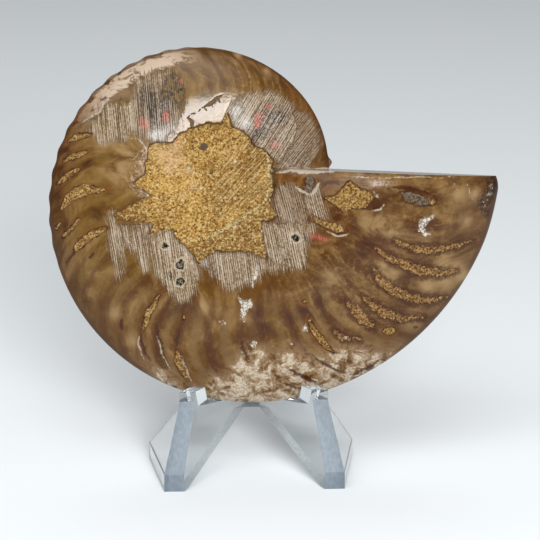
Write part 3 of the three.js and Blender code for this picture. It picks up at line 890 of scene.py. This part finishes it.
class Finish:
    """A material that is built node by node."""

    def __init__(self, name):
        self.material = bpy.data.materials.new(name)
        self.material.use_nodes = True
        self.tree = self.material.node_tree

    def put(self, socket, value):
        if isinstance(value, Value):
            self.tree.links.new(value.socket, socket)
        else:
            socket.default_value = value

    def add(self, kind, inputs=(), output=0, **settings):
        made = self.tree.nodes.new("ShaderNode" + kind)
        for name, value in settings.items():
            setattr(made, name, value)
        for place, value in dict(inputs).items():
            self.put(made.inputs[place], value)
        return Value(self, made.outputs[output])

    def coats(self, base, *coats):
        """A base colour and the coats over it, each with how strongly it covers."""
        for paint, part in coats:
            base = self.add("Mix", {0: part, 6: base, 7: paint}, output=2, data_type="RGBA")
        return base

    def mark(self, name, output="Fac"):
        """A value that was kept on the mesh."""
        return self.add("Attribute", output=output, attribute_name=name)

    def on_object(self):
        return self.add("TexCoord", output="Object")

    def on_cut(self):
        """Millimetres in the frame of the flat cut: u, v and w."""
        inputs = {"Vector": self.on_object(), "Location": SPIRAL_CENTRE,
                  "Rotation": (math.radians(90) - LEAN, 0, 0), "Scale": (MM, MM, MM)}
        return self.add("Mapping", inputs, vector_type="TEXTURE")

    def use(self, inputs):
        """Sets or links the shader's own sockets, and gives back the finished material."""
        for name, value in inputs.items():
            self.put(self.tree.nodes["Principled BSDF"].inputs[name], value)
        return self.material


print("a finish has", ", ".join(name for name in vars(Finish) if not name.startswith("_")))

# %% [markdown]
# ## The polished face
# Polished ammonite is translucent calcite: cloudy olive on the left, golden brown below and
# on the right, with dark and light bands where the ribs were, greyer towards the rim. A
# painted picture would fix all of that at one size. Here noise gives the clouds, and the rib
# number gives the bands, so they follow the shell.

# %% Clouds, bands and fibres of the polished stone
OLIVE = colour(132, 102, 56)
BROWN = colour(114, 80, 38)
SHADE = colour(82, 54, 16)
DARK_BAND = colour(95, 63, 22)
LIGHT_BAND = colour(150, 121, 82)
TAN = colour(172, 138, 90)
MAUVE = colour(130, 98, 68)
GOLDEN_LINE = colour(196, 154, 98)
EDGE_BROWN = colour(94, 66, 32)
PALE_RIM = colour(220, 196, 170)
FINE_RIBS = 1.6  # thin light lines for each rib, on the early whorl
BAND_SHIFT = 0.2  # the dark bands lie this much of a rib further on


def both_ways(value, darker, lighter, part, narrow=0.22):
    """Two coats: the darker colour where a noise is low, the lighter one where it is high."""
    low = value.step(0.5, 0.5 - narrow, 0, part)
    high = value.step(0.5, 0.5 + narrow, 0, part)
    return (darker, low), (lighter, high)


def paint_growth(finish, cut, growth):
    """The polished stone without its marks."""
    mark = finish.mark
    rib, reach, strength = growth.split()
    clouds = cut.noise(0.1, 4, 0.6, 0.8)
    mottle = cut.noise(0.3, 5, 0.62, 0.4)
    freckles = cut.noise(0.7, 5, 0.75, 0.1)
    smoke = growth.streaks((1.3, 0.22, 1), 5, 0.62, 1.4)
    fibres = growth.streaks((0.2, 0.12, 1), 5, 0.7, 0.4)
    blotches = growth.streaks((0.6, 0.05, 1), 5, 0.7, 1.0)
    outer = reach.step(0.25, 0.6)
    more_right = mark("right") * 0.3 + 0.16
    bent = smoke * 0.4 + rib - BAND_SHIFT
    shown = strength * reach.step(0.46, 0.7)
    fine_ribs = (bent * FINE_RIBS).wave().step(0.7, 1.0, 0, 0.7) * reach.step(0.64, 0.8)
    fine_ribs = mark("early") * fine_ribs * freckles.step(0.44, 0.58)
    near_rim = reach.step(0.8, 0.97) * clouds.step(0.3, 0.6, 0.4, 0.85)
    rim = finish.coats(EDGE_BROWN, (MAUVE, smoke.step(0.38, 0.6)))
    pale = (fibres * 0.12 + reach).step(0.945, 0.965) * blotches.step(0.4, 0.5, 0.1, 0.9)
    base = finish.coats(
        OLIVE,
        (BROWN, mark("warm")),
        (SHADE, mark("right") * 0.35),
        *both_ways(clouds, EDGE_BROWN, TAN, 0.6),
        *both_ways(smoke, EDGE_BROWN, TAN, outer * 0.62 + 0.18),
        *both_ways(mottle, SHADE, TAN, more_right * 0.8, 0.2),
        (DARK_BAND, shown * bent.wave().step(0.2, 1.0)),
        (LIGHT_BAND, shown * bent.wave().step(-0.1, -1.0, 0, 0.55)),
        *both_ways(fibres, DARK_BAND, TAN, more_right * outer),
        *both_ways(freckles, DARK_BAND, TAN, more_right * 1.3),
        (GOLDEN_LINE, fine_ribs),
        (rim, near_rim),
        (PALE_RIM, mark("pale_rim") * pale),
        (EDGE_BROWN, reach.step(0.972, 0.986, 0, 0.7)),
    )
    return base, smoke


# %% [markdown]
# ## Stains and the cream marble
# Brown shade, rust and pale clouds lie in the stone, and its bottom is marbled with cream
# calcite and brown seams. A plain spot would look airbrushed, so noise breaks each one up.
# For the marble, the noise has to pass a height that falls towards the bottom and the right.

# %% Soft stains and the cream marble
RUST = colour(144, 94, 50)
PALE = colour(178, 146, 104)
SCUFFED = colour(58, 46, 38)
GRAINY_PINK = colour(196, 164, 140)
CREAM_LIGHT = colour(238, 223, 200)
CREAM_TAN = colour(198, 177, 150)
CREAM_MID = colour(164, 134, 100)
CREAM_DARK = colour(96, 70, 46)
CREAM_SEAM = colour(110, 66, 30)
SEAM_WIDTH = 0.022  # in units of the marbling noise


def paint_stains(finish, cut, growth, base, smoke, ragged):
    """Stains first, and the cream over them."""
    mark = finish.mark
    marble = growth.streaks((0.5, 0.12, 1), 6, 0.78, 0.9) * 0.35 + cut.noise(0.3, 6, 0.68, 0.6) * 0.65
    fine = cut.noise(1.5, 4, 0.75)
    to_right = cut.split()[0].step(-20, 34, -0.4, 2.4)
    depth = (mark("cream") - mark("shade") * 4 + to_right).step(-3.5, 3.5)
    above = marble + depth * 0.24 - 0.735
    cream = finish.coats(CREAM_TAN, (CREAM_LIGHT, fine.step(0.42, 0.56)))
    seams = above.math("ABSOLUTE").step(SEAM_WIDTH, 0.0, 0, 0.6) * fine.step(0.5, 0.56)
    return finish.coats(
        base,
        (PALE, mark("pale") * smoke.step(0.36, 0.6, 0.1, 1)),
        (SHADE, mark("shade") * smoke.step(0.62, 0.36, 0.25, 0.95)),
        (RUST, mark("rust") * ragged.step(-0.1, 0.12, 0.1, 0.6)),
        (SCUFFED, mark("scuffed") * ragged.step(-0.06, 0.06, 0.3, 1)),
        (GRAINY_PINK, mark("grainy") * ragged.step(0.0, 0.08)),
        (CREAM_MID, depth * marble.step(0.4, 0.5)),
        (cream, above.step(-0.04, 0.06, 0, 0.9)),
        (CREAM_SEAM, depth * seams),
        (CREAM_DARK, depth * marble.step(0.45, 0.38, 0, 0.85)),
    )


# %% [markdown]
# ## The sanded flats
# Where the umbilicus was sanded down, the calcite is a mass of pale and dark hairlines, with
# soot and a crust of ore in places. Near the glare on the crest the hairlines get a painted
# highlight, and elsewhere some are paler in random patches, partly their own colour and partly
# a painted sheen. Each flat has its own direction, kept on the mesh as a place that runs along
# its scratches, so one noise stretched along it serves them all.

# %% Hairlines, soot and crust
SANDED_DARK = colour(86, 66, 44)
SANDED_BROWN = colour(140, 114, 90)
SANDED_TAN = colour(158, 132, 98)
SANDED_PALE = colour(220, 204, 182)
# White of the painted highlight on the scratched flats near the glare.
SCRATCH_GLARE_WHITE = colour(238, 232, 224)
SOOT = colour(48, 44, 38)
CRUST_LIGHT = colour(140, 108, 64)
CRUST_DARK = colour(48, 38, 28)
PINK = colour(226, 124, 112)
STROKE_PITCH = 0.6


def paint_sanded(finish, cut, base, ragged):
    """Pale and dark hairlines, and what the sanding laid bare."""
    mark = finish.mark
    strokes = mark("strokes", "Vector")
    across, _, tone = strokes.split()
    frayed = strokes.streaks((0.4, 10, 9), 3, 0.65)
    long_hairs = strokes.streaks((0.36, 14, 9), 3, 0.7)
    crumbs = strokes.streaks((0.5, 0.9, 9), 3, 0.8)
    ruled = (frayed * 1.2 + across * (1 / STROKE_PITCH)).wave()
    hairs = ruled * 0.045 + long_hairs * 0.58 + crumbs * 0.42
    depth = mark("sanded") - 3.1 + frayed * 7.0
    inside = depth.step(-0.7, 0.9) * hairs.step(0.36, 0.46, 0.55, 0.95)
    # Paler hairlines in random patches: partly the scratches' own colour, partly a painted sheen on them.
    wear_and_sheen = cut.noise(0.2, 4, 0.65).step(0.5, 0.66, 0, 0.35)
    crust = finish.coats(CRUST_DARK, (CRUST_LIGHT, ragged.step(-0.08, 0.08)))
    flat = finish.coats(
        SANDED_BROWN,
        (SANDED_TAN, tone),
        (SANDED_BROWN, ragged.step(-0.02, -0.16, 0, 0.5)),
        (SANDED_DARK, hairs.step(0.5, 0.42, 0, 0.75)),
        (SANDED_PALE, hairs.step(0.5, 0.58) * (tone * 0.45 + 0.35)),
        (SANDED_PALE, hairs.step(0.42, 0.52) * wear_and_sheen),
        # Painted highlight: the glare on the scratches, next to the bright band on the crest.
        (SCRATCH_GLARE_WHITE, mark("bleached") * hairs.step(0.38, 0.52, 0.2, 0.95)),
        (SOOT, mark("soot") * hairs.step(0.56, 0.47, 0.2, 1)),
        (crust, mark("crust").step(0.3, 0.6, 0, 0.85)),
    )
    pink = mark("pink") * hairs.step(0.42, 0.55, 0.2, 0.75)
    return finish.coats(base, (flat, inside), (PINK, pink)), inside, hairs


# %% [markdown]
# ## Slits, pits, flecks and chips
# The slits are the gaps between the ribs' walls, packed with the same sand as the middle.
# Around them lie flecks of chalk, grey lenses, dark lines and pits. Each distance on the mesh
# gets some ragged noise added and is then stepped, which gives a crisp but natural edge.

# %% Sand in the slits, and the small marks
GOLD_LIGHT = colour(192, 154, 88)
GOLD_DARK = colour(112, 76, 34)
GRAIN_GLINT = colour(236, 212, 158)
SLIT_LINE = colour(82, 54, 20)
SLIT_TAN = colour(186, 144, 92)
CHALK = colour(244, 236, 224)
CHALK_GREY = colour(150, 140, 128)
# Colour of the pale seams and slit edges, and of the painted highlight along the top edge.
PALE_EDGE = colour(214, 198, 176)
LENS_GREY = colour(142, 126, 108)
LENS_DARK = colour(88, 72, 56)
CHIP_BROWN = colour(130, 106, 86)
PIT_PALE = colour(206, 188, 158)
PIT_DARK = colour(38, 34, 32)


def slit_sands(finish, grains, patchy, crumbs):
    """The golden sand of the left slits, and the coarser, darker sand of the right ones."""
    gold = finish.coats(
        GOLD_DARK,
        (GOLD_LIGHT, grains.step(0.42, 0.54)),
        (GRAIN_GLINT, grains.step(0.56, 0.64, 0, 0.7)),
        (RUST, patchy.step(0.5, 0.32, 0, 0.6)),
    )
    speckles = finish.coats(
        SLIT_LINE,
        (GOLD_DARK, crumbs.step(0.34, 0.46)),
        (SLIT_TAN, crumbs.step(0.46, 0.54)),
        (GRAIN_GLINT, crumbs.step(0.57, 0.66, 0, 0.8)),
    )
    return gold, speckles


def paint_slits(finish, cut, base, ragged):
    """Slits with sand in them, and the small marks, each over what is already there."""
    mark = finish.mark
    grains = cut.noise(1.6, 3, 0.75)
    patchy = cut.noise(0.55, 3, 0.6)
    gold, speckles = slit_sands(finish, grains, patchy, cut.noise(1.5, 5, 0.8))
    grey = finish.coats(LENS_DARK, (LENS_GREY, grains.step(0.42, 0.6)))
    crystals = cut.cells(0.9, "DISTANCE_TO_EDGE").step(0.03, 0.12)
    white = finish.coats(CHALK_GREY, (CHALK, crystals))
    lens = mark("grey_lens")
    golden = mark("golden") + ragged * 1.1
    speckled = mark("speckled") - 1.1 + patchy * 2.4 + ragged * 2.4
    chipped = mark("chipped") + ragged * 1.2
    pit = mark("pit") - 1.2 + patchy * 2.4 + ragged * 1.2
    in_speckles = speckled.step(-0.2, 0.3)
    base = finish.coats(
        base,
        (SLIT_LINE, (mark("dark_line") + ragged * 1.6).step(-0.2, 0.2, 0, 0.85)),
        (RUST, golden.step(-1.8, -0.3, 0, 0.4) * patchy.step(0.44, 0.6)),
        (SLIT_LINE, golden.step(-0.42, -0.1) * patchy.step(0.56, 0.44, 0.1, 1)),
        (gold, golden.step(0.0, 0.18)),
        (SHADE, speckled.step(-1.6, 0.1, 0, 0.8)),
        (speckles, in_speckles),
        (SLIT_LINE, lens.step(-0.5, -0.1, 0, 0.7)),
        (grey, lens.step(0.0, 0.2)),
        (white, (mark("chalk") + ragged * 3.0).step(-0.1, 0.4) * grains.step(0.36, 0.52, 0.3, 0.95)),
        # Pale seams and slit edges, and a painted highlight along the right top edge.
        (PALE_EDGE, (mark("pale_line") + ragged * 0.9).step(-0.15, 0.15, 0, 0.8)),
        (CHIP_BROWN, chipped.step(-0.05, 0.15, 0, 0.9)),
        (PIT_PALE, pit.step(-0.9, -0.2, 0, 0.8)),
        (PIT_DARK, pit.step(-0.05, 0.1) * grains.step(0.62, 0.52)),
    )
    sandy = golden.step(-0.4, 0.0).larger(in_speckles).larger(chipped.step(-0.05, 0.15))
    return base, sandy, grains


# %% The whole polished finish
POLISH = 0.15  # roughness of the polish, and what is added to it by each mark
SANDED_ROUGHER = 0.15
ETCHED_ROUGHER = 0.4
SANDY_ROUGHER = 0.5
POLISH_IOR = 1.31  # the real polish is worn, and reflects less than fresh calcite
BROAD_RIPPLE = 0.08 * MM
FINE_RIPPLE = 0.025 * MM
HAIR_RELIEF = 0.25 * MM
SLIT_SAND_RELIEF = 0.5 * MM


def polished_stone():
    finish = Finish("polished_stone")
    cut = finish.on_cut()
    growth = finish.mark("growth", "Vector")
    ragged = cut.noise(1.3, 4, 0.7) - 0.5
    base, smoke = paint_growth(finish, cut, growth)
    base = paint_stains(finish, cut, growth, base, smoke, ragged)
    base, sanded, hairs = paint_sanded(finish, cut, base, ragged)
    base, sandy, grains = paint_slits(finish, cut, base, ragged)
    base = finish.coats(base, (EDGE_BROWN, finish.mark("fill").step(-2.7, -1.9, 0, 0.55)))
    rough = sanded * SANDED_ROUGHER + finish.mark("etched") * ETCHED_ROUGHER + sandy * SANDY_ROUGHER
    rough = (rough + POLISH).math("MINIMUM", 1.0)
    ripple = cut.noise(0.22, 3, 0.6).bump(BROAD_RIPPLE)
    ripple = cut.noise(1.6, 3, 0.7).bump(FINE_RIPPLE, ripple)
    grooves = (hairs * sanded).bump(HAIR_RELIEF, ripple)
    sand = (grains * sandy).bump(SLIT_SAND_RELIEF, grooves)
    return finish.use({"Base Color": base, "Roughness": rough, "Normal": sand, "IOR": POLISH_IOR})


# %% [markdown]
# ## The sandstone
# The fill is coarse, golden sand cemented by lime: ochre grains with dark pores and a few
# white specks, and pale grains that also carry painted glints. It is smoother and peach-coloured
# at the upper left, brightest at the left, darker outside its ridge, with a painted highlight
# along the ridge's crest, and has faint sanding lines in its scoop. Real grains could be
# scattered as a mesh, but noise in two sizes gives colour and relief for far fewer triangles.

# %% Grains, pores and specks of the sandstone
OCHRE = colour(236, 186, 102)
OCHRE_DARK = colour(200, 154, 82)
BRIGHT_SAND = colour(255, 204, 112)
OUTER_SAND = colour(184, 144, 84)
PEACH = colour(250, 202, 144)
SAND_BROWN = colour(142, 96, 38)
PORE = colour(76, 46, 14)
# Pale grain colour, used also for painted glints on the grains and a painted highlight on the ridge.
GRAIN_LIGHT = colour(255, 236, 176)
SPECK = colour(244, 238, 226)
PEBBLE_GREY = colour(116, 100, 84)
COARSE_RELIEF = 0.55 * MM
FINE_RELIEF = 0.3 * MM
SCOOP_LINES_TURN = 48


def sandstone():
    finish = Finish("sandstone")
    mark = finish.mark
    cut = finish.on_cut()
    broad = cut.noise(0.16, 4, 0.6)
    grains = cut.noise(1.5, 5, 0.78)
    tone = cut.cells(2.3, output="Color").split()[0] * 0.18 + grains * 0.82
    smoother = mark("peach").larger(mark("bright_sand") * 0.4)
    contrast = smoother * -0.6 + 1.0
    ridge = mark("ridge")
    crest = ridge.step(0.75, 0.25) * ridge.step(-0.45, -0.1)
    lines = cut.streaks((8, 0.3, 4), 3, 0.6, turn=SCOOP_LINES_TURN)
    base = finish.coats(
        OCHRE_DARK,
        (OCHRE, broad.step(0.4, 0.6)),
        (BRIGHT_SAND, mark("bright_sand") * 0.8),
        (PEACH, mark("peach") * broad.step(0.35, 0.5, 0.55, 1)),
        (RUST, mark("rust") * 0.6),
        (OUTER_SAND, ridge.step(0.1, -0.5, 0, 0.8)),
        # Painted highlight along the ridge's crest.
        (GRAIN_LIGHT, crest * broad.step(0.3, 0.5, 0.3, 0.8)),
        (SAND_BROWN, contrast * tone.step(0.54, 0.42, 0, 0.8)),
        # Pale grains, partly their own colour and partly painted glints.
        (GRAIN_LIGHT, tone.step(0.53, 0.64, 0, 0.85)),
        (PORE, contrast * tone.step(0.42, 0.36, 0, 0.85)),
        (GRAIN_LIGHT, mark("scoop") * lines.step(0.5, 0.62, 0, 0.35)),
        (SAND_BROWN, mark("scoop") * lines.step(0.52, 0.38, 0, 0.7)),
        (SPECK, cut.cells(0.3).step(0.13, 0.09) * broad.step(0.48, 0.55)),
        (PEBBLE_GREY, mark("pebble").step(-0.1, 0.2)),
    )
    sandy = cut.noise(2.8, 2, 0.6).bump(FINE_RELIEF, grains.bump(COARSE_RELIEF))
    return finish.use({"Base Color": base, "Roughness": 0.88, "Normal": sandy, "Specular IOR Level": 0.25})


# %% [markdown]
# ## The ground end and the cut back
# The mouth is ground flat, and shows the stone that fills the last whorl. The saw cut behind
# shows the coil itself: whorl inside whorl, walled off into chambers by curved septa, each
# filled with calcite of another tint. The walls could be cut into the mesh, but the growth
# formula turned round gives them straight from a point's angle and distance.

# %% Ground end
END_STONE = colour(176, 160, 146)
END_PALE = colour(214, 204, 194)
CALCITE_IOR = 1.5


def ground_end():
    finish = Finish("ground_end")
    cut = finish.on_cut()
    beds = cut.streaks((12, 1.0, 2), 5, 0.65, 0.6).step(0.35, 0.62)
    stained = cut.noise(0.5, 4).step(0.52, 0.7, 0, 0.6)
    base = finish.coats(END_STONE, (END_PALE, beds), (BROWN, stained))
    ripple = cut.noise(0.3, 2).bump(0.04 * MM)
    return finish.use({"Base Color": base, "Roughness": 0.22, "Normal": ripple, "IOR": CALCITE_IOR})


# %% The coil inside, seen on the cut back
CHAMBER_DEGREES = 14  # from one wall across the coil to the next
BODY_CHAMBER_START = 280  # degrees around the spiral from which no walls are left
WALL_CURVE = 1.6
WALL_MM = 0.5
BACK_LIGHT = 1.1  # the studio is dimmer behind the stone
SHELL_WALL = colour(232, 216, 190, BACK_LIGHT)
WALL_BROWN = colour(92, 60, 32, BACK_LIGHT)
HONEY = colour(176, 122, 62, BACK_LIGHT)
AMBER_DARK = colour(112, 72, 36, BACK_LIGHT)
MILKY = colour(206, 184, 150, BACK_LIGHT)
SEDIMENT = colour(176, 142, 94, BACK_LIGHT)
SEDIMENT_DARK = colour(134, 102, 64, BACK_LIGHT)


def place_in_coil(cut):
    """The chamber number, counted around the coil, and the distances to the whorl's wall and to the next
    septum.
    """
    u, v, _ = cut.split()
    distance = (u * u + v * v).math("SQRT")
    angle = v.math("ARCTAN2", u)
    grown = (distance * (1 / START_RADIUS)).math("LOGARITHM", math.e)
    turns = (grown * (1 / GROWTH) - angle) * (1 / TURN)
    to_wall = turns.math("PINGPONG", 0.5) * distance * (TURN * GROWTH)
    along = turns.math("CEIL") * TURN + angle
    middle = turns.math("FRACT") - 0.5
    number = along * (math.degrees(1) / CHAMBER_DEGREES) + middle * middle * -WALL_CURVE
    to_septum = number.math("PINGPONG", 0.5) * distance * math.radians(CHAMBER_DEGREES)
    return number, to_wall, to_septum


def cut_back():
    finish = Finish("cut_back")
    cut = finish.on_cut()
    number, to_wall, to_septum = place_in_coil(cut)
    tint = finish.add("TexWhiteNoise", {"W": number.math("FLOOR")}, noise_dimensions="1D")
    crystals = cut.cells(0.8, output="Color").split()[0]
    clouds = cut.noise(0.22, 5, 0.65, 0.8)
    grains = cut.noise(1.4, 3, 0.7)
    in_body_chamber = number.math("GREATER_THAN", BODY_CHAMBER_START / CHAMBER_DEGREES)
    mud = finish.coats(
        SEDIMENT_DARK,
        (SEDIMENT, clouds.step(0.35, 0.65)),
        (WALL_BROWN, grains.step(0.5, 0.35, 0, 0.5)),
        (MILKY, grains.step(0.54, 0.66, 0, 0.6)),
    )
    base = finish.coats(
        AMBER_DARK,
        (HONEY, tint.step(0.3, 0.7)),
        (MILKY, tint.step(0.72, 0.8)),
        (HONEY, clouds.step(0.42, 0.6, 0, 0.7)),
        (MILKY, crystals.step(0.5, 1.0, 0, 0.4)),
        (AMBER_DARK, crystals.step(0.4, 0.0, 0, 0.35)),
        (WALL_BROWN, to_wall.math("MINIMUM", to_septum).step(2.4, 0.4, 0, 0.7)),
        (SHELL_WALL, to_septum.step(WALL_MM, 0.6 * WALL_MM)),
        (mud, in_body_chamber),
        (WALL_BROWN, to_wall.step(1.6 * WALL_MM, 1.1 * WALL_MM)),
        (SHELL_WALL, to_wall.step(WALL_MM, 0.6 * WALL_MM)),
    )
    rough = in_body_chamber * 0.25 + clouds * 0.15 + 0.2
    ripple = grains.bump(0.03 * MM)
    return finish.use({"Base Color": base, "Roughness": rough, "Normal": ripple, "IOR": CALCITE_IOR})


for finish in (polished_stone(), sandstone(), ground_end(), cut_back()):
    shell.data.materials.append(finish)
    print(finish.name, "has", len(finish.node_tree.nodes), "nodes")

# %% [markdown]
# ## The easel
# The solid is a union of plates, so it is merged and its flat faces are joined, and then
# every edge gets a small bevel. Moulded acrylic has no sharp edges, and it is the bevels
# that catch the light.

# %% Copy, clean and bevel the easel
EDGE_ROUND = 0.25 * MM
CLEAR, SHADED_EDGE, ARCH = range(3)
SIDEWAYS = 0.3  # the edge faces that get painted light look forward, back or down, not sideways
DOWNWARD = -0.1
PAINTED_EDGE_TOP = 25 * MM  # edge faces on the prongs above this height stay clear, with no painted shade
bm = bmesh.new()
bm.from_mesh(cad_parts["stand"].data)
bmesh.ops.remove_doubles(bm, verts=bm.verts, dist=0.01 * MM)
bmesh.ops.dissolve_limit(bm, angle_limit=math.radians(1), verts=bm.verts, edges=bm.edges)
# Edge faces below the prong tops get painted light: slate grey painted shade where they do not look down,
# and a pale painted reflection of the floor where they look down under the arch.
for face in bm.faces:
    is_edge = abs(face.normal.x) < SIDEWAYS and face.calc_center_median().z < PAINTED_EDGE_TOP
    edge_finish = ARCH if face.normal.z < DOWNWARD else SHADED_EDGE
    face.material_index = edge_finish if is_edge else CLEAR
bmesh.ops.bevel(bm, geom=bm.edges[:], offset=EDGE_ROUND, offset_type="OFFSET", segments=2, profile=0.5,
                affect="EDGES", material=-1, clamp_overlap=True)
bmesh.ops.recalc_face_normals(bm, faces=bm.faces)
print("easel:", len(bm.faces), "faces, open edges:", sum(not edge.is_manifold for edge in bm.edges))
easel = finished_piece("clear_easel", bm)
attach(easel, "root")
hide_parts("stand")

# %% [markdown]
# ## Clear acrylic
# Acrylic lets light through and bends it a little less than glass. Its edge faces are
# frosted, and their slate grey is painted shade; the faces that look down under the arch are
# painted pale, a painted reflection of the floor. One material could be blurred by a map, but
# three plain ones stay correct when the part is exported.

# %% Clear acrylic, and edges with painted shade and a painted reflection
ACRYLIC_IOR = 1.49
ACRYLIC = colour(247, 250, 251, 1, 0)
# Slate grey painted shade for the edge faces, and a pale painted reflection of the floor for the faces under
# the arch.
EDGE_SHADE_DARK = colour(104, 116, 127, 1, 0)
EDGE_SHADE_LIGHT = colour(124, 136, 147, 1, 0)
ARCH_DARK = colour(196, 206, 212, 1, 0)
ARCH_LIGHT = colour(228, 235, 239, 1, 0)
SAW_MARKS = (0.9 * MM, 0.9 * MM, 1.8 * MM)


def clear_acrylic():
    finish = Finish("clear_acrylic")
    return finish.use({"Base Color": ACRYLIC, "Roughness": 0.02, "IOR": ACRYLIC_IOR,
                       "Transmission Weight": 1.0})


def painted_edge_acrylic(name, dark, light, seen_through):
    """An edge face, see-through in part and frosted by fine streaks. Its colours are painted light: slate
    grey painted shade on the forward faces, and a pale painted reflection of the floor under the arch.
    """
    finish = Finish(name)
    marks = finish.on_object().streaks(SAW_MARKS, 3, 0.6)
    base = finish.coats(dark, (light, marks.step(0.25, 0.75)))
    return finish.use({"Base Color": base, "Roughness": 0.4, "Normal": marks.bump(0.03 * MM),
                       "IOR": ACRYLIC_IOR, "Transmission Weight": seen_through})


# Painted shade on the edge faces, and a painted reflection of the floor on those under the arch.
shaded_front_edges = painted_edge_acrylic("painted_edge_acrylic", EDGE_SHADE_DARK, EDGE_SHADE_LIGHT, 0.4)
lit_arch_edges = painted_edge_acrylic("arch_acrylic", ARCH_DARK, ARCH_LIGHT, 0.35)
for finish in (clear_acrylic(), shaded_front_edges, lit_arch_edges):
    easel.data.materials.append(finish)
    print(finish.name, "has", len(finish.node_tree.nodes), "nodes")

# %% [markdown]
# ## Floor and light
# A pale card is the floor, and the light is soft, as in a small studio. A low softbox in front
# makes the bright band on the polished crest, two large ones above it and a little to the
# left throw the soft shadow, and one stands behind. A picture of a studio could light it too,
# but lamps are easier to move until the band lies where it should.

# %% Stage
FLOOR = colour(223, 227, 230, 1, 0)
FLOOR_SIZE = 4
FLOOR_FRONT = 0.45  # how far the card reaches in front of the easel
SOFTBOXES = [  # name, turn and rise in degrees, distance, width, height and power
    ("front", 8, 21, 1.2, 0.44, 0.32, 16.5),
    ("front_top", -20, 50, 1.3, 1.4, 0.5, 7.6),
    ("top", -16, 65, 1.3, 0.9, 0.5, 2.9),
    ("behind", 180, 60, 1.5, 1.2, 0.8, 3.8),
]
STUDIO_TINT = (0.96, 0.99, 1.0, 1)
STUDIO_STRENGTH = 0.31
bm = bmesh.new()
bmesh.ops.create_grid(bm, x_segments=1, y_segments=1, size=FLOOR_SIZE)
bmesh.ops.translate(bm, verts=bm.verts, vec=(0, FLOOR_SIZE - FLOOR_FRONT, 0))
floor = finished_piece("floor", bm)
paper = Finish("white_card").use({"Base Color": FLOOR, "Roughness": 0.9, "Specular IOR Level": 0.2})
floor.data.materials.append(paper)
for name, turn, rise, distance, width, height, power in SOFTBOXES:
    lamp = bpy.data.lights.new(name, "AREA")
    lamp.shape = "RECTANGLE"
    lamp.size = width
    lamp.size_y = height
    lamp.energy = power
    face_object(put_in_scene(name, lamp), turn, rise, distance)
world = bpy.data.worlds.new("studio")
world.use_nodes = True
background = world.node_tree.nodes["Background"]
background.inputs["Color"].default_value = STUDIO_TINT
background.inputs["Strength"].default_value = STUDIO_STRENGTH
bpy.context.scene.world = world
bpy.context.scene.view_settings.view_transform = "Standard"
print("lights:", [name for name, *_ in SOFTBOXES])
